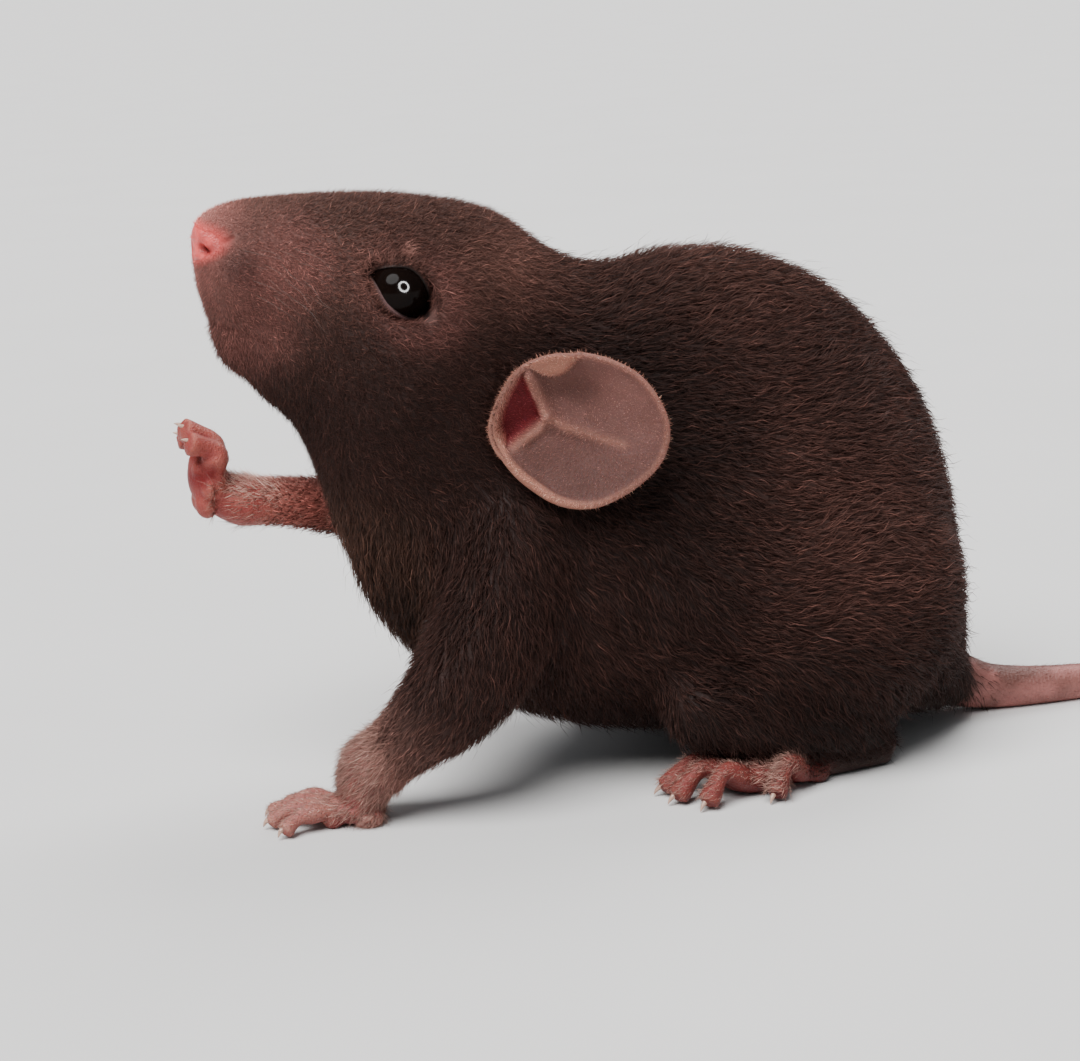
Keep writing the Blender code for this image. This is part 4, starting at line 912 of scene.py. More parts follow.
def loose_mesh(points, walls, caps):
    """A mesh with no object, ready to be melted."""
    made = put("loose", points, walls, caps)
    mesh = made.data
    bpy.data.objects.remove(made)
    return mesh


def digit_path(base, way, across, up, sizes, drop):
    """The line of a finger or toe: root, knuckle, middle joint and tip."""
    spread, knuckle, middle, tip, stray = sizes
    rows = [base + way * (knuckle - 2.5) + across * spread * 0.5 + up * (drop[0] - 0.5),
            base + way * knuckle + across * spread + up * drop[0],
            base + way * middle + across * (spread + stray * 0.5) + up * drop[1],
            base + way * tip + across * (spread + stray) + up * drop[2]]
    return smooth_path(rows, DIGIT_STEPS)


def claw_path(line, up, size):
    """The curved line of a claw, from inside the tip of a digit."""
    way = unit(line[-1] - line[-4])
    way = unit(way - 0.75 * up * (way @ up))
    return np.array([line[-1] + way * a * size + up * b for a, b in CLAW_CURVE])


def joined(tubes):
    """Several tubes' points, walls and caps as one mesh's."""
    points, walls, caps = zip(*tubes)
    starts = np.cumsum([0] + [len(p) for p in points[:-1]])
    return (np.concatenate(points), *(np.concatenate([f + start for f, start in zip(faces, starts)])
                                      for faces in (walls, caps)))


def paw(name, balls, lines, claws, axes, light, node):
    """One paw melted from balls and tubes, and its claws as a piece of their own."""
    place, way, up = axes
    meshes = [loose_mesh(*ball(*b)) for b in balls]
    meshes += [loose_mesh(*tube(path, radii)) for path, radii in lines]
    points, faces, edges = melted(meshes, 0.0, PAW_VOXEL, 3)
    points[:, 2] = np.maximum(points[:, 2], FLOOR_GAP)
    made = put(name, points, faces)
    normals = normals_of(points, faces)
    hollow = np.sum((relaxed(points, edges, 10) - points) * normals, axis=1)
    # Painted shade: red in the hollows, on the underside of the paw and under its palm.
    red_shade = np.maximum(0.45 * (1.0 - ramp(normals @ up, -0.6, 0.2)), ramp(hollow, 0.0, 0.1))
    red_shade = np.maximum(red_shade, hill((points - place) @ way, 0.7, 1.5) * ramp(-(normals @ up), -0.2, 0.4))
    # Paler in random mottles, and as painted light on the bulges of knuckles and pads.
    pale = np.maximum(0.5 * ramp(noise(points, 1.3, 13), -0.4, 0.6), ramp(-hollow, 0.0, 0.1))
    colours = blended(np.tile(PAW_PINK, (len(points), 1)), PAW_PALE, pale)
    colours = light * blended(colours, PAW_SHADE_RED, red_shade)
    up_limb = ramp(np.linalg.norm(points - place, axis=1), 4.5, 8.5) * ramp((place - points) @ way, 0.5, 2.5)
    painted(made, "flush", blended(colours, 1.4 * markings(points), up_limb))
    finished(made, paw_finish, "bare_skin", node)
    horn_points, walls, caps = joined([tube(smooth_path(path, 3), CLAW_RADII, 10) for path in claws])
    horn_points[:, 2] = np.maximum(horn_points[:, 2], FLOOR_GAP)
    finished(put(f"claws_{name}", horn_points, walls, caps), claw_finish, "bare_skin")
    return points, np.concatenate([faces[:, :3], faces[:, (0, 2, 3)]]), normals


paw_skin = Finish("paw_skin", Roughness=0.5, Specular_IOR_Level=0.2, Subsurface_Weight=0.2,
                  Subsurface_Scale=0.0007)
paw_tint = paw_skin.tinted(paw_skin.marked("flush"), 0.8 + 0.4 * paw_skin.grain(0.5))
paw_finish = paw_skin.worn(paw_tint, 0.38 + 0.2 * paw_skin.grain(0.3),
                           paw_skin.cells(0.2) + 0.8 * paw_skin.grain(0.15), 0.07)
claw_horn = Finish("claw_horn", Roughness=0.3, Specular_IOR_Level=0.5)
claw_finish = claw_horn.worn(claw_horn.mix(claw_horn.grain(0.4), CLAW_BROWN, CLAW_PALE),
                             0.25 + 0.15 * claw_horn.grain(0.3), claw_horn.grain(0.15), 0.02)
DIGIT_TAPER = np.linspace(1.0, 0.0, 3 * DIGIT_STEPS + 1)
DIGIT_SWELLS = 1.0 + 0.17 * np.cos(4.0 * math.pi * (1.0 - DIGIT_TAPER))
TOE_RADIUS = 1.1
WRIST_RADII = {"left": (2.9, 3.3, 2.1), "right": (1.9, 2.6, 2.0)}
FINGER_RADII = {"left": 0.9, "right": 1.25}
PALM_RADII = {"left": (3.1, 2.5, 1.35), "right": (3.2, 2.6, 2.0)}
HAND_LIGHT = {"left": np.array((0.88, 1.15, 1.15)), "right": np.array((0.95, 0.85, 0.82))}
# Each hand: its arm, the ways to its fingers and out of its back, the middle of its palm, the
# share of the fingers' full length, and how far each joint stands over the palm.
HANDS = {
    "left": (LEFT_ARM, (-0.95, 0.3, 0.0), (0.0, 0.0, 1.0), (-24.9, -8.3, 1.5), 0.88, (0.25, 0.2, -0.7)),
    "right": (RIGHT_ARM, (-0.1, 0.0, 1.0), (1.0, 0.0, 0.1), (-33.6, 8.2, 31.7), 0.64, (0.7, 0.7, -1.5)),
}
HEEL_PAD, FINGER_PAD = (1.5, 1.25, 1.15), (1.1, 0.95, 1.0)
PALM_PADS = (((-2.1, -1.2, -0.75), HEEL_PAD), ((-2.1, 1.2, -0.75), HEEL_PAD),
             ((1.4, -1.4, -0.6), FINGER_PAD), ((1.9, 0.2, -0.6), FINGER_PAD),
             ((1.3, 1.5, -0.6), FINGER_PAD), ((-0.6, -2.4, -0.4), (1.0, 0.8, 0.7)))
paws = {}
for name, (arm, way, up, palm_at, reach, bend) in HANDS.items():
    way, up = unit(way), unit(up)
    up = unit(up - way * (up @ way))
    across = np.cross(way, up)
    across = across if across[1] * SIDES[name] > 0 else -across
    turn = np.stack((way, across, up), axis=1)
    palm_at = np.array(palm_at)
    balls = [(palm_at, PALM_RADII[name], turn)]
    balls += [(palm_at + turn @ place, radii, turn) for place, radii in PALM_PADS]
    lines, claws = [], []
    for spread, knuckle, middle, tip, stray in FINGERS:
        stray = stray * (1.0 if name == "left" else 0.5)
        sizes = (spread, knuckle * reach, middle * reach, tip * reach, stray)
        line = digit_path(palm_at, way, across, up, sizes, bend)
        lines.append((line, FINGER_RADII[name] * DIGIT_SWELLS * (0.82 + 0.3 * DIGIT_TAPER)))
        claws.append(claw_path(line, up, 0.42))
    wrist = smooth_path([arm[3], arm[4], palm_at - way], 5)
    run = np.linspace(0.0, 1.0, len(wrist))
    lines.append((wrist, np.interp(run, (0.0, 0.5, 1.0), WRIST_RADII[name])))
    axes = (palm_at, way, up)
    made = paw(f"hand_paw_{name}", balls, lines, claws, axes, HAND_LIGHT[name], f"hand_{name}")
    paws[f"hand_{name}"] = (*made, palm_at, way, across, up, unit(arm[4] - arm[3]))
HEEL = np.array((29.0, 12.8, 1.7))
FOOT_TURN = math.radians(10.0)
FOOT_LENGTH = 14.5
FOOT_LIGHT = np.array((0.5, 0.38, 0.38))
TOE_DROPS = (-0.1, 1.45, -0.85)
# The sole and the instep, as places along the foot and over the heel, and radii.
FOOT_LINES = (((0.0, 0.0, 1.85), (7.0, 0.2, 2.0), (14.5, 0.0, 1.9)),
              ((-0.4, 0.0, 1.65), (2.6, 1.4, 2.1), (7.6, 3.4, 2.2)))
for name, side in SIDES.items():
    way = unit((-math.cos(FOOT_TURN), side * math.sin(FOOT_TURN), 0.0))
    across = unit(np.array((0.0, side, 0.0)) - way * (side * way[1]))
    up = np.array((0.0, 0.0, 1.0))
    heel = HEEL * (1.0, side, 1.0)
    toes_at = heel + way * FOOT_LENGTH
    turn = np.stack((way, across, up), axis=1)
    balls = [(toes_at, (4.2, 2.9, 1.8), turn)]
    lines, claws = [], []
    for sizes in TOES:
        line = digit_path(toes_at, way, across, up, sizes, TOE_DROPS)
        lines.append((line, TOE_RADIUS * DIGIT_SWELLS * (0.85 + 0.23 * DIGIT_TAPER)))
        claws.append(claw_path(line, up, 0.62))
    for rows in FOOT_LINES:
        path = smooth_path([(*(heel + way * a + up * u), radius) for a, u, radius in rows], 8)
        lines.append((path[:, :3], path[:, 3]))
    axes = (toes_at, way, up)
    made = paw(f"foot_paw_{name}", balls, lines, claws, axes, FOOT_LIGHT, f"foot_{name}")
    paws[f"foot_{name}"] = (*made, toes_at, way, across, up, way)

# The tail: long, round and tapering, laid on the floor in a slow bend.
# It is bare skin in fine rings of scales, brownish pink, with short stiff hairs.
# A tube along the tail's line, given as places and radii, carries rings as steps in its radius.
TAIL_LINE = ((38.0, 0.0, 5.0, 1.8), (42.0, -0.1, 3.8, 2.9), (47.0, -0.4, 2.3, 2.35),
             (55.0, -1.0, 1.8, 1.95), (66.0, -0.4, 1.6, 1.72), (80.0, 3.0, 1.42, 1.54),
             (94.0, 6.0, 1.22, 1.34), (108.0, 5.6, 0.98, 1.1), (118.0, 2.0, 0.68, 0.8),
             (126.0, -3.6, 0.43, 0.55))
TAIL_ROWS, TAIL_COLUMNS = 860, 24
TAIL_RING = 0.42
TAIL_ROSE = linear(156, 98, 92)
TAIL_BROWN = linear(98, 60, 53)
line = smooth_path(TAIL_LINE, 40)
run = np.concatenate([[0.0], np.cumsum(np.linalg.norm(np.diff(line[:, :3], axis=0), axis=1))])
steps = np.linspace(0.0, run[-1], TAIL_ROWS)
tail_path = np.stack([np.interp(steps, run, line[:, k]) for k in range(3)], axis=1)
tail_radii = np.interp(steps, run, line[:, 3])
tooth = (steps / TAIL_RING) % 1.0
tail_radii += 0.045 * (tooth**0.6 - 0.5) * ramp(steps, 4.0, 10.0) - 0.02
tail_points, tail_walls, tail_caps = tube(tail_path, tail_radii, TAIL_COLUMNS)
tail_points[:, 2] = np.maximum(tail_points[:, 2], FLOOR_GAP)
tail = put("tail_whole", tail_points, tail_walls, tail_caps)
mottle = ramp(noise(tail_points, 2.0, 17) + (tail_points[:, 2] - 2.0) * 0.2, -0.5, 0.9)
tail_tint = blended(np.tile(TAIL_ROSE, (len(tail_points), 1)), TAIL_BROWN, mottle)
painted(tail, "flush", tail_tint)
tail_skin = Finish("tail_skin", Roughness=0.5, Specular_IOR_Level=0.4)
tail_shade = tail_skin.tinted(tail_skin.marked("flush"), 0.8 + 0.4 * tail_skin.grain(0.5))
tail_finish = tail_skin.worn(tail_shade, 0.45 + 0.2 * tail_skin.grain(0.4), tail_skin.cells(0.3), 0.06)
finished(tail, tail_finish, "tail", "tail_1", "tail_2", "tail_3", "tail_4")

# The coat: short fur that lies along the body, in fine clumps a little wavy on the haunch.
# It is brown-grey hair, dark at the root, with paler tips and a few long pale hairs.
# Every tuft is a thin closed spike of three sides, bent along the lie of the coat.
coat_draw = np.random.default_rng(20)
COAT_THINNING = 1
BENT_TRIANGLES, STRAIGHT_TRIANGLES = 10, 4
MOST_TRIANGLES = 190000
BODY_AXIS = ((0.0, 2.0, 24.0), (0.0, 1.0, 0.0), (0.0, 0.0, 1.0), (1.0, 0.0, 0.0))
TUFT_TONES = (0.5, 0.85, 1.25)
TUFT_PATCH = 0.003
EAR_FUNNEL = (-5.7, 10.5, 38.5)


def lie(points, normals):
    """The way the hair lies: back from the nose, back and down the body, down the limbs."""
    x, y, z = points.T
    head = head_share(points)[:, None]
    low = 1.0 - ramp(z, 5.0, 16.0)
    shoulder = hill(x, 4.0, 9.0) * hill(z, 24.0, 12.0)
    down = 0.12 + 0.85 * low + 0.65 * shoulder
    body = np.stack((1.0 - 0.6 * low - 0.25 * shoulder, 0 * x, -down), axis=1)
    chest = (1.0 - ramp(x, -6.0, 3.0))[:, None] * (1.0 - head)
    body = body * (1.0 - chest) + chest * np.array((0.05, 0.0, -1.0))
    face = unit(points - (-38.0, NOSE[1], 56.0)) + np.array((0.35, 0.0, -0.25))
    way = body * (1.0 - head) + face * head
    from_eye = unit(np.stack((x - EYE[0], 0 * x, z - EYE[2]), axis=1))
    by_eye = (1.0 - ramp(past_opening(points), 0.3, 1.8))[:, None] * head
    way = way * (1.0 - by_eye) + by_eye * (from_eye + np.array((0.4, 0.0, -0.2)))
    for arm in (LEFT_ARM, RIGHT_ARM):
        share = arm_share(points, arm)[:, None]
        way = way * (1.0 - share) + share * unit(arm[-1] - arm[1])
    head = head[:, 0]
    turn = (1.0 - 0.4 * head) * (0.35 * noise(points, 5.0, 21) + 0.45 * noise(points, 1.1, 22))
    turn = turn + (0.18 + 0.37 * head) * coat_draw.standard_normal(len(points))
    return turned(along_skin(way, normals), normals, turn)


def along_skin(way, normals):
    """Ways laid flat on the skin."""
    return unit(way - normals * np.sum(way * normals, axis=1, keepdims=True))


def turned(way, normals, angle):
    """Ways turned about the skin's normals."""
    angle = angle[:, None]
    return unit(way * np.cos(angle) + np.cross(normals, way) * np.sin(angle))


def areas_of(points, faces):
    """The area of each triangle."""
    a, b, c = (points[faces[:, k]] for k in range(3))
    return 0.5 * np.linalg.norm(np.cross(b - a, c - a), axis=1)


def rooted(points, faces, density, *rows):
    """Roots spread evenly over triangles, so many to a square millimetre at each point of the
    surface: their places, and each further row of the points' numbers at those places."""
    sums = np.cumsum(areas_of(points, faces) * density[faces].mean(axis=1))
    count = int(sums[-1] / COAT_THINNING)
    picks = np.searchsorted(sums, (np.arange(count) + coat_draw.random(count)) / count * sums[-1])
    picks = np.minimum(picks, len(faces) - 1)
    u, v = coat_draw.random((2, count, 1))
    u = np.sqrt(u)
    shares = (1.0 - u, u * (1.0 - v), u * v)
    return [sum(s * row[faces[picks, k]] for k, s in enumerate(shares)) for row in (points, *rows)]


def clump_centres(points, size, seed):
    """The nearest of the scattered centres that stand one in each cube of a lattice."""
    low = np.floor(points / size).astype(np.int64)
    best = np.full(len(points), 1e9)
    centre = np.zeros_like(points)
    for corner in np.ndindex(3, 3, 3):
        cell = low + np.array(corner) - 1
        aside = np.stack([scatter(cell, seed + k) for k in range(3)], axis=1)
        place = (cell + 0.5 + 0.42 * aside) * size
        away = np.linalg.norm(points - place, axis=1)
        centre = np.where((away < best)[:, None], place, centre)
        best = np.minimum(away, best)
    return centre


def hair_path(root, normal, way, length, rise, clump):
    """The root, middle and tip of each tuft. It leaves along cos(rise) way + sin(rise) normal,
    lies flatter in its outer half, waves aside, and its tip is drawn to its clump's centre."""
    rise, length = rise[:, None], length[:, None]
    half = root + 0.5 * length * (np.cos(rise) * way + np.sin(rise) * normal)
    tip = half + 0.5 * length * (np.cos(0.4 * rise) * way + np.sin(0.4 * rise) * normal)
    if clump:
        pull = clump_centres(root, clump, 31) - root
        pull = pull - normal * np.sum(pull * normal, axis=1, keepdims=True)
        wave = (0.2 * noise(root, 0.9, 33))[:, None] * length * np.cross(normal, way)
        half = half + 0.3 * pull + wave
        tip = tip + 0.7 * pull - 0.7 * wave
    return root - 0.06 * normal, half, tip


def round_axis(root, axis):
    """Places on an unwrap of the skin round an axis: the turn about it and the run along it."""
    middle, first, second, third = np.array(axis)
    local = root - middle
    run = local @ third
    return np.stack((np.arctan2(local @ second, local @ first) / (2.0 * math.pi) + 0.5,
                     (run - run.min()) / max(np.ptp(run), 1e-6)), axis=1)


def planted(name, root, normal, way, path, width, colour, slot, spots, bent):
    """One mesh of tufts: three-sided closed spikes, with a ring half way along the bent ones.

    spots are the roots' places on an unwrap of the skin, from 0 to 1. The map OFBake gives each
    tuft a patch TUFT_PATCH across there.
    """
    count, rings = len(root), 2 if bent else 1
    size = 3 * rings + 1
    side = np.cross(normal, way)
    angle = np.array((0.5, 7.0 / 6.0, 11.0 / 6.0)) * math.pi
    spoke = np.cos(angle)[:, None] * side[:, None] + 0.6 * np.sin(angle)[:, None] * normal[:, None]
    thick = 0.5 * width[:, None, None]
    start, half, tip = path
    rows = [start[:, None] + thick * spoke]
    if bent:
        rows.append(half[:, None] + 0.8 * thick * spoke)
    points = np.concatenate([*rows, tip[:, None]], axis=1)
    points[..., 2] = np.maximum(points[..., 2], FLOOR_GAP + 0.05 * width[:, None])
    base = np.arange(count)[:, None, None] * size
    near, far = np.arange(3), (np.arange(3) + 1) % 3
    last = size - 4
    tips = (base + np.stack((near + last, far + last, np.full(3, size - 1)), axis=-1)).reshape(-1, 3)
    feet = (base[:, 0] + np.array((0, 2, 1))).reshape(-1, 3)
    walls = (base + np.stack((near, far, far + 3, near + 3), axis=-1)).reshape(-1, 4)
    made = put(name, points.reshape(-1, 3), *([walls] if bent else []), tips, feet)
    shades = np.repeat(TUFT_TONES if bent else TUFT_TONES[::2], [3] * rings + [1])
    painted(made, "hair", (colour[:, None] * shades[:, None]).reshape(-1, 3))
    patch = 0.005 + 0.99 * spots[:, None]
    turns = np.append(np.tile(np.arange(3) * 2.0 * math.pi / 3.0, rings), 0.0)
    reach = np.append(np.repeat((1.0, 0.6)[:rings], 3), 0.0) * TUFT_PATCH / 2
    patch = patch + np.stack((np.cos(turns) * reach, np.sin(turns) * reach), axis=1)
    corners = numbers_of(made.data.loops, "vertex_index", 1).ravel()
    bake_map = made.data.uv_layers.new(name="OFBake")
    bake_map.data.foreach_set("uv", patch.reshape(-1, 2)[corners].astype(np.float32).ravel())
    finished(made, coat_finish, slot)


def coated(name, root, normal, way, path, width, colour, bent):
    """The tufts of the whole hide: each fore leg's in a piece of its own, and the rest in pieces
    from nose to rump that are each small enough."""
    size = BENT_TRIANGLES if bent else STRAIGHT_TRIANGLES
    left = arm_share(root, LEFT_ARM) > 0.25
    right = (arm_share(root, RIGHT_ARM) > 0.25) & ~left
    rest = np.flatnonzero(~left & ~right)
    pieces = math.ceil(len(rest) * size / MOST_TRIANGLES)
    parts = np.array_split(rest[np.argsort(root[rest, 0])], pieces)
    named = [(f"{name}_{i + 1}", part, BODY_AXIS) for i, part in enumerate(parts)]
    for limb, inside, arm in (("left", left, LEFT_ARM), ("right", right, RIGHT_ARM)):
        third = unit(arm[-1] - arm[1])
        first = unit(np.cross(third, (0.3, 1.0, 0.2)))
        axis = (arm[2], first, np.cross(third, first), third)
        named.append((f"{name}_arm_{limb}", np.flatnonzero(inside), axis))
    for piece, part, axis in named:
        planted(piece, root[part], normal[part], way[part], [p[part] for p in path], width[part],
                colour[part], "coat", round_axis(root[part], axis), bent)


def tone(count, spread, pale):
    """How light each tuft is: exp(spread N), and a few pale ones."""
    draw = coat_draw.random(count)
    return (np.exp(spread * coat_draw.standard_normal(count)) + 1.6 * (draw > 1.0 - pale))[:, None]


def on_fore_legs(points):
    """How far down either fore leg a point is."""
    return np.maximum(arm_share(points, LEFT_ARM), arm_share(points, RIGHT_ARM))


coat_hair = Finish("coat_hair", Roughness=0.6, Specular_IOR_Level=0.14)
coat_tint = coat_hair.tinted(coat_hair.marked("hair"), 0.8 + 0.4 * coat_hair.grain(1.5))
coat_finish = coat_hair.worn(coat_tint, 0.5 + 0.2 * coat_hair.grain(0.8), coat_hair.grain(0.1), 0.01)
head = head_share(skin_points)
from_nose = np.linalg.norm(skin_points - NOSE, axis=1)
past = past_opening(skin_points)
grown = (1.0 - 0.9 * ramp(pad_on, 0.3, 0.9)) * ramp(off_nostril, 0.3, 0.7) * ramp(past, 0.2, 0.45)
grown *= 0.35 + 0.65 * ramp(skin_points[:, 2], 1.5, 9.0)
grown *= ramp(radii_off(folded_over(skin_points, 0.0), EAR_FUNNEL, 1.0), 2.6, 3.4)
density = grown * (9.6 * (1.0 - head) + 6.0 * head * ramp(from_nose, 7.0, 14.0))
root, normal = rooted(skin_points, skin_faces, density, skin_normals)
normal = unit(normal)
head = head_share(root)
from_nose = np.linalg.norm(root - NOSE, axis=1)
draw = coat_draw.random((3, len(root)))
stray = draw[2] > 0.97
length = 2.2 * (1.0 - head) + (0.4 + 1.1 * ramp(from_nose, 6.0, 26.0)) * head
length = length * (1.0 - 0.5 * on_fore_legs(root)) * (0.65 + 0.6 * draw[0]) * (1.0 + 0.35 * stray)
width = (0.115 * (1.0 - head) + 0.085 * head) * (0.75 + 0.5 * draw[1]) * (1.0 - 0.4 * stray)
rise = np.clip(0.42 + 0.16 * coat_draw.standard_normal(len(root)) + 0.5 * stray, 0.1, 1.2)
way = lie(root, normal)
path = hair_path(root, normal, way, length, rise * (1.0 - 0.2 * head), 0.75)
coated("coat", root, normal, way, path, width, 1.12 * markings(root) * tone(len(root), 0.3, 0.015), True)

# The down: the short dense hair of the face, and the soft under-fur of the rest.
# It is finer than the coat over it, and of the same colours.
# These tufts are straight closed spikes, too short to bend.
CHIN = (-31.0, NOSE[1], 46.0)
# Longer hair stands before and behind each ear, along a line that is met with x and y folded.
BY_EAR = np.array(((8.0, 12.6, 43.5), (8.4, 11.9, 41.0), (9.8, 11.2, 37.5)))
head = head_share(skin_points)
from_nose = np.linalg.norm(skin_points - NOSE, axis=1)
density = grown * (2.6 * (1.0 - head) + head * (28.0 + 34.0 * (1.0 - ramp(from_nose, 5.0, 15.0))))
root, normal = rooted(skin_points, skin_faces, density, skin_normals)
normal = unit(normal)
head = head_share(root)
from_nose = np.linalg.norm(root - NOSE, axis=1)
draw = coat_draw.random((2, len(root)))
by_chin = 1.0 - ramp(radii_off(root, CHIN, (2.5, 3.5, 3.5)), 0.6, 1.4)
by_ear = 1.0 - ramp(along_path(np.abs(root), BY_EAR)[1], 0.8, 2.6)
length = 1.5 * (1.0 - head) + (0.46 + 0.62 * ramp(from_nose, 2.5, 20.0)) * head
length = length + 0.25 * by_chin + 1.3 * by_ear
length = length * (1.0 - 0.4 * on_fore_legs(root)) * (0.6 + 0.7 * draw[0])
width = 0.1 * (1.0 - head) + (0.06 + 0.025 * ramp(from_nose, 3.0, 14.0)) * head
width = width * (0.75 + 0.5 * draw[1])
rise = 0.6 + (0.1 + 0.3 * (1.0 - ramp(from_nose, 4.0, 10.0))) * head + 0.25 * by_ear
rise = np.clip(rise + 0.28 * coat_draw.standard_normal(len(root)), 0.1, 1.4)
way = lie(root, normal)
path = hair_path(root, normal, way, length, rise, 0.0)
paler = 1.0 + 0.75 * head * (1.0 - ramp(from_nose, 8.0, 26.0))
colour = markings(root) * paler[:, None] * tone(len(root), 0.33, 0.03)
coated("down", root, normal, way, path, width, colour, False)


def sprinkled(name, slot, points, faces, normals, density, way, length, width, rise, colour, spots, stray):
    """A down of straight tufts over one surface, with the lie and colour given at its points."""
    rows = normals, way, length[:, None], colour, spots
    root, normal, way, length, colour, spots = rooted(points, faces, density, *rows)
    normal, draw = unit(normal), coat_draw.random((2, len(root)))
    way = turned(along_skin(way, normal), normal, stray * coat_draw.standard_normal(len(root)))
    lifted = np.clip(rise + 0.25 * coat_draw.standard_normal(len(root)), 0.05, 1.3)
    path = hair_path(root, normal, way, length[:, 0] * (0.6 + 0.8 * draw[0]), lifted, 0.0)
    planted(name, root, normal, way, path, width * (0.7 + 0.6 * draw[1]),
            colour * tone(len(root), 0.3, 0.04), slot, spots, False)


for name, side in SIDES.items():
    points, triangles, normals, stretch = lids[name]
    out = unit(points * (1.0, 0.0, 1.0) - (EYE[0], 0.0, EYE[2]))
    flat = (points[:, (0, 2)] - (EYE[0], EYE[2])) / 10.0 + 0.5
    sprinkled(f"down_lid_{name}", "coat", points, triangles, normals, 46.0 * ramp(stretch, 1.04, 1.1),
              out + (0.5, 0.0, -0.2), 0.34 + 1.1 * (stretch - 1.05), 0.085, 0.5, 1.4 * markings(points), flat,
              0.3)
    whole, normals, triangles, thick, unrolled, shares, deep, inside, backside = ears[name]
    count = len(whole)
    middle, along, up, face = ear_axes(side)
    out = unit(unrolled[:, :1] * along + unrolled[:, 1:] * up + 0.3 * up + 1e-6)
    flat = unrolled / 22.0
    front = hill(np.abs(np.arctan2(unrolled[:, 1], unrolled[:, 0])), math.pi, 0.65)
    density = 60.0 * front * ramp(shares, 0.92, 0.96)
    forward, over, brown = (np.tile(row, (count, 1)) for row in (-along, face + 0.4 * up, 1.4 * CROWN_BROWN))
    sprinkled(f"fringe_ear_{name}", "coat", whole, triangles, forward, density, over,
              np.full(count, 0.9), 0.07, 0.25, brown, flat + 0.5, 0.6)
    # The front and the back each have a half of the down's map.
    for place, turn, tint, at, crowd in (("front", 1.0, inside, 0.25, 34.0 if side == LEFT else 18.0),
                                         ("back", -1.0, backside, 0.75, 14.0)):
        start = whole + turn * thick * normals
        sprinkled(f"down_ear_{place}_{name}", "ears", start, triangles, turn * normals,
                  crowd - 8.0 * deep + 34.0 * ramp(shares, 0.94, 0.98), out,
                  0.34 + 0.16 * ramp(shares, 0.94, 0.99), 0.05, 0.75, 2.2 * tint,
                  flat * (0.5, 1.0) + (at, 0.5), 0.5)
PAW_CROWD = {"hand_left": 22.0, "hand_right": 6.0, "foot_left": 13.0, "foot_right": 13.0}
for name, (points, triangles, normals, place, way, across, up, down_arm) in paws.items():
    local = (points - place) @ np.stack((way, across, up), axis=1)
    foot = name.startswith("foot")
    run = ramp(local[:, 0], -1.0, 3.0)
    upper = ramp(normals @ up, -0.5, 0.3)
    pink = ramp(local[:, 0], -4.5, -0.5) if foot else ramp(local[:, 0], -7.0, -2.5)
    tint = blended(markings(points) * (1.6 if foot else 1.2), PAW_HAIR * 0.9, pink)
    if name == "hand_left":
        upper = np.maximum(upper, 1.0 - ramp(local[:, 0], -3.0, -1.0))
    if name == "hand_right":
        over_arm = ramp(local[:, 2], 0.8, 2.5) * (0.15 + 0.85 * ramp(normals[:, 2], -0.1, 0.7))
        upper = np.maximum(over_arm, ramp(normals @ up, 0.2, 0.7) * (1.0 - ramp(local[:, 0], -2.0, 2.0)))
        # The hair is drawn lighter where it faces up: painted light from above.
        tint = PAW_HAIR * (0.9 + 0.5 * ramp(normals[:, 2], 0.0, 0.7))[:, None]
    paw_way = np.tile(way, (len(points), 1)) * run[:, None] + down_arm * (1.0 - run)[:, None]
    sprinkled(f"down_{name}", "bare_skin", points, triangles, normals,
              upper * (36.0 * (1.0 - run) + PAW_CROWD[name] * run), paw_way,
              1.4 * (1.0 - run) + (0.9 if foot else 0.55) * run, 0.07, 0.45, tint,
              round_axis(points, (place, across, up, way)), 0.35)
on_tail = unit(np.gradient(tail_path, axis=0))
tail_way = np.repeat(on_tail, TAIL_COLUMNS, axis=0)
tail_way = np.concatenate([on_tail[:1], tail_way, on_tail[-1:]])
tail_tris = np.concatenate([tail_walls[:, :3], tail_walls[:, (0, 2, 3)]])
turns = np.concatenate([[0.0], np.tile(np.arange(TAIL_COLUMNS) / TAIL_COLUMNS, TAIL_ROWS), [0.0]])
runs = np.concatenate([[0.0], np.repeat(np.arange(TAIL_ROWS) / TAIL_ROWS, TAIL_COLUMNS), [1.0]])
sprinkled("down_tail", "tail", tail_points, tail_tris, normals_of(tail_points, tail_walls),
          6.0 + 0 * turns, tail_way, 0.7 + 0 * turns, 0.05, 0.3, 1.2 * tail_tint,
          np.stack((turns, runs), axis=1), 0.15)

# The whiskers: short, fine and curly, in rows on the pads beside the nose.
# Each is a single hair of mottled brown horn.
# A thin tapering tube follows a wavy curve back from its follicle.
WHISKER_ROWS, WHISKER_STEPS, WHISKER_LENGTH = 4, 4, 3.6
WHISKER_RADII = np.linspace(0.02, 0.007, 13)
WHISKER_DARK = linear(52, 38, 34)
WHISKER_PALE = linear(110, 88, 78)


def nearest_skin(x, z, side):
    """The places and normals of the skin's points that lie nearest to x, z on one side."""
    near = side * (skin_points[:, 1] - NOSE[1]) > 0.3
    near &= side * skin_normals[:, 1] > 0.1
    places, ways = skin_points[near], skin_normals[near]
    pick = np.hypot(places[:, 0] - x[:, None], places[:, 2] - z[:, None]).argmin(axis=1)
    return list(zip(places[pick], ways[pick]))


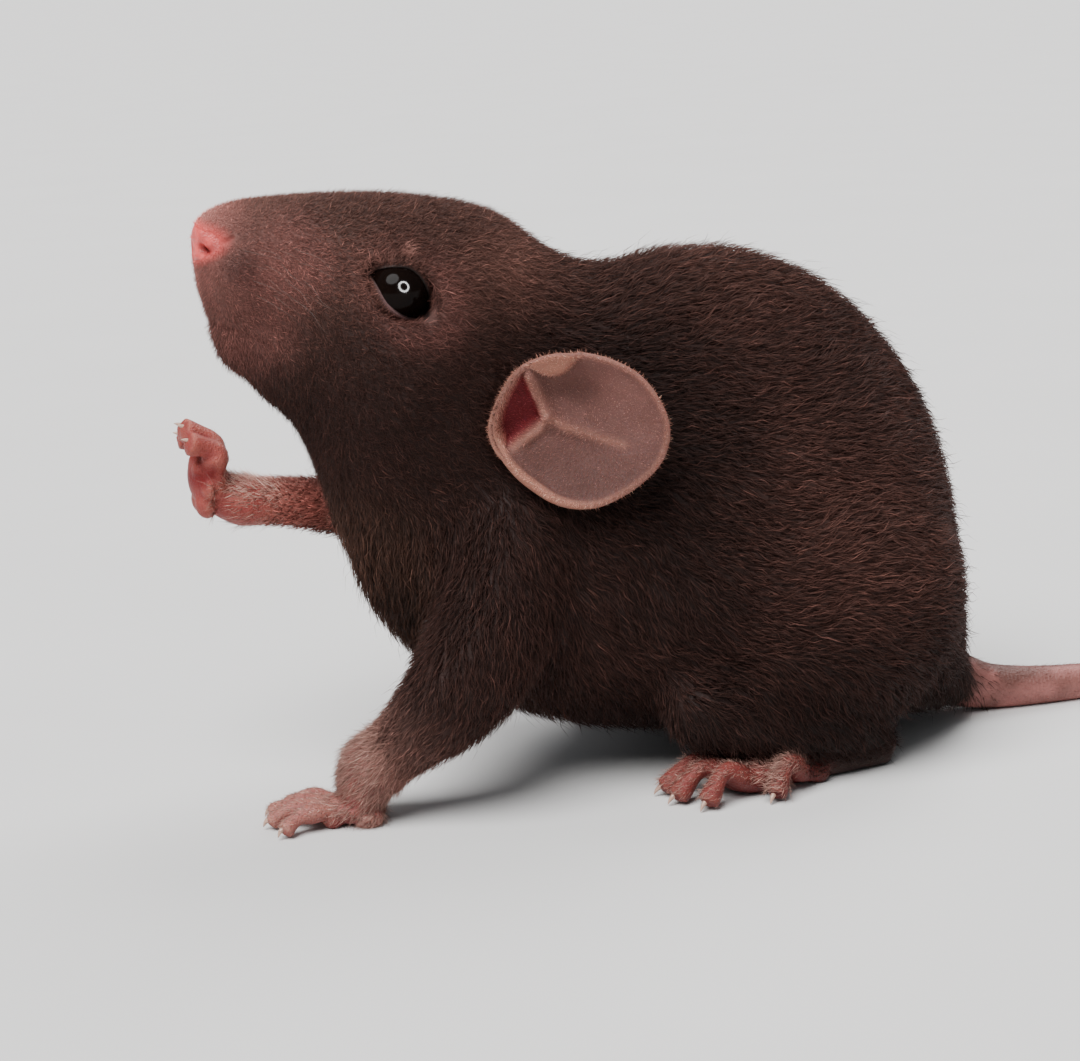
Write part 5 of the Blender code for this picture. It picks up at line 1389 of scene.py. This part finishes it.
whisker_draw = np.random.default_rng(7)
whisker_tubes = []
for side in (LEFT, RIGHT):
    x, z = np.meshgrid(-29.6 + 1.5 * np.arange(WHISKER_STEPS), 55.0 - 1.4 * np.arange(WHISKER_ROWS))
    x = x + 0.22 * np.arange(WHISKER_ROWS)[:, None]
    for begin, out in nearest_skin(x.ravel(), z.ravel(), side):
        draw = whisker_draw.random(6)
        reach = WHISKER_LENGTH * (0.6 + 0.7 * draw[0]) * (1.0 + 0.05 * (begin[0] + 30.0))
        way = unit(out + np.array((0.9, 0.0, -0.5)) + 0.5 * (draw[1:4] - 0.5))
        aside = unit(np.cross(way, out + draw[3:6]))
        t = np.linspace(0.0, 1.0, 13)[:, None]
        curl = 0.06 * np.sin(t * (5.0 + 5.0 * draw[4]) + 6.0 * draw[5]) * t
        path = begin + reach * (t * way + curl * aside + 0.25 * t**2 * np.array((0.4, 0.0, -0.7)))
        whisker_tubes.append(tube(path, WHISKER_RADII, 5))
whisker_hair = Finish("whisker_hair", Roughness=0.35, Specular_IOR_Level=0.5)
whisker_finish = whisker_hair.worn(whisker_hair.mix(whisker_hair.grain(4.0), WHISKER_DARK, WHISKER_PALE),
                                   0.3 + 0.2 * whisker_hair.grain(2.0))
finished(put("whiskers", *joined(whisker_tubes)), whisker_finish, "coat")

# The room: a plain pale floor, soft light and the camera, all left off the model.
# The floor is one wide matt sheet just under the rat's feet.
# Two broad suns light the coat, and a ring of small lamps shines in the eyes alone.
FLOOR_HALF = 20.0
FLOOR_DEPTH = -1e-5
FLOOR_COLOURS = (0.62, 0.61, 0.6), (0.66, 0.65, 0.64)
floor_mesh = bpy.data.meshes.new("floor")
corners = ((-1, -1), (1, -1), (1, 1), (-1, 1))
floor_mesh.from_pydata([(x * FLOOR_HALF, y * FLOOR_HALF, FLOOR_DEPTH) for x, y in corners],
                       [], [(0, 1, 2, 3)])
floor = bpy.data.objects.new("floor", floor_mesh)
bpy.context.scene.collection.objects.link(floor)
floor_stuff = Finish("floor_stuff", Roughness=0.8)
floor_mesh.materials.append(floor_stuff.worn(floor_stuff.mix(floor_stuff.grain(40.0), *FLOOR_COLOURS)))

CAMERA_TURN, CAMERA_TILT, CAMERA_ROLL = np.radians((-15.0, 13.0, 3.0))
CAMERA_DISTANCE = 255.0
CAMERA_TARGET = np.array((-2.0, 0.0, 24.7))


def camera_axes():
    """The ways right, up and back of a camera that looks along its turn and tilt, then rolls."""
    a, e, r = CAMERA_TURN, CAMERA_TILT, CAMERA_ROLL
    back = np.array((math.sin(a) * math.cos(e), -math.cos(a) * math.cos(e), math.sin(e)))
    right = np.array((math.cos(a), math.sin(a), 0.0))
    up = np.cross(back, right)
    return math.cos(r) * right - math.sin(r) * up, math.sin(r) * right + math.cos(r) * up, back


def placed(right, up, back, place):
    """A matrix whose columns are three ways and a place in millimetres in the rat's frame."""
    rows = np.column_stack((right, up, back, (place + OFFSET) * MM))
    return Matrix([*rows.tolist(), (0.0, 0.0, 0.0, 1.0)])


right, up, back = camera_axes()
lens = bpy.data.cameras.new("camera")
lens.lens = 85.0
lens.sensor_width = 36.0
lens.clip_start = 0.01
camera = bpy.data.objects.new("camera", lens)
camera.matrix_world = placed(right, up, back, CAMERA_TARGET + back * CAMERA_DISTANCE)
bpy.context.scene.collection.objects.link(camera)
bpy.context.scene.camera = camera


def lamp(name, kind, way, distance, power, **settings):
    """A light that shines on the left eye from one way, at a distance in millimetres."""
    light = bpy.data.lights.new(name, kind)
    light.energy = power
    for setting, value in settings.items():
        setattr(light, setting, value)
    made = bpy.data.objects.new(name, light)
    back = unit(way)
    across = unit(np.cross((0.0, 0.0, 1.0), back))
    made.matrix_world = placed(across, np.cross(back, across), back, EYE + distance * back)
    bpy.context.scene.collection.objects.link(made)
    return made


SUN_DISTANCE = 500.0
lamp("key", "SUN", (-0.4, -0.4, 0.87), SUN_DISTANCE, 6.4, angle=math.radians(45.0))
lamp("back", "SUN", (0.5, 0.45, 0.8), SUN_DISTANCE, 2.0, angle=math.radians(40.0))
CATCH = unit((0.2, -0.89, 0.4))
CATCH_ACROSS = unit(np.cross(CATCH, (0.0, 0.0, 1.0)))
CATCH_UP = np.cross(CATCH_ACROSS, CATCH)
CATCH_LAMPS = 24
CATCH_WIDTH = 0.33
CATCH_DISTANCE = 440.0
CATCH_POWER = 1.5
CATCH_LAMP_SIZE = 0.055
only_eyes = bpy.data.collections.new("only_eyes")
for name in SIDES:
    only_eyes.objects.link(bpy.data.objects[f"eyeball_{name}"])
for i in range(CATCH_LAMPS):
    turn = 2.0 * math.pi * i / CATCH_LAMPS
    way = CATCH + CATCH_WIDTH * (math.cos(turn) * CATCH_ACROSS + math.sin(turn) * CATCH_UP)
    catch = lamp(f"catch_{i}", "AREA", way, CATCH_DISTANCE, CATCH_POWER, shape="DISK",
                 size=CATCH_LAMP_SIZE)
    catch.visible_diffuse = False
    catch.light_linking.receiver_collection = only_eyes
world = bpy.data.worlds.new("world")
world.use_nodes = True
sky = world.node_tree.nodes["Background"].inputs
sky["Color"].default_value = (0.92, 0.95, 1.0, 1.0)
sky["Strength"].default_value = 0.3
bpy.context.scene.world = world
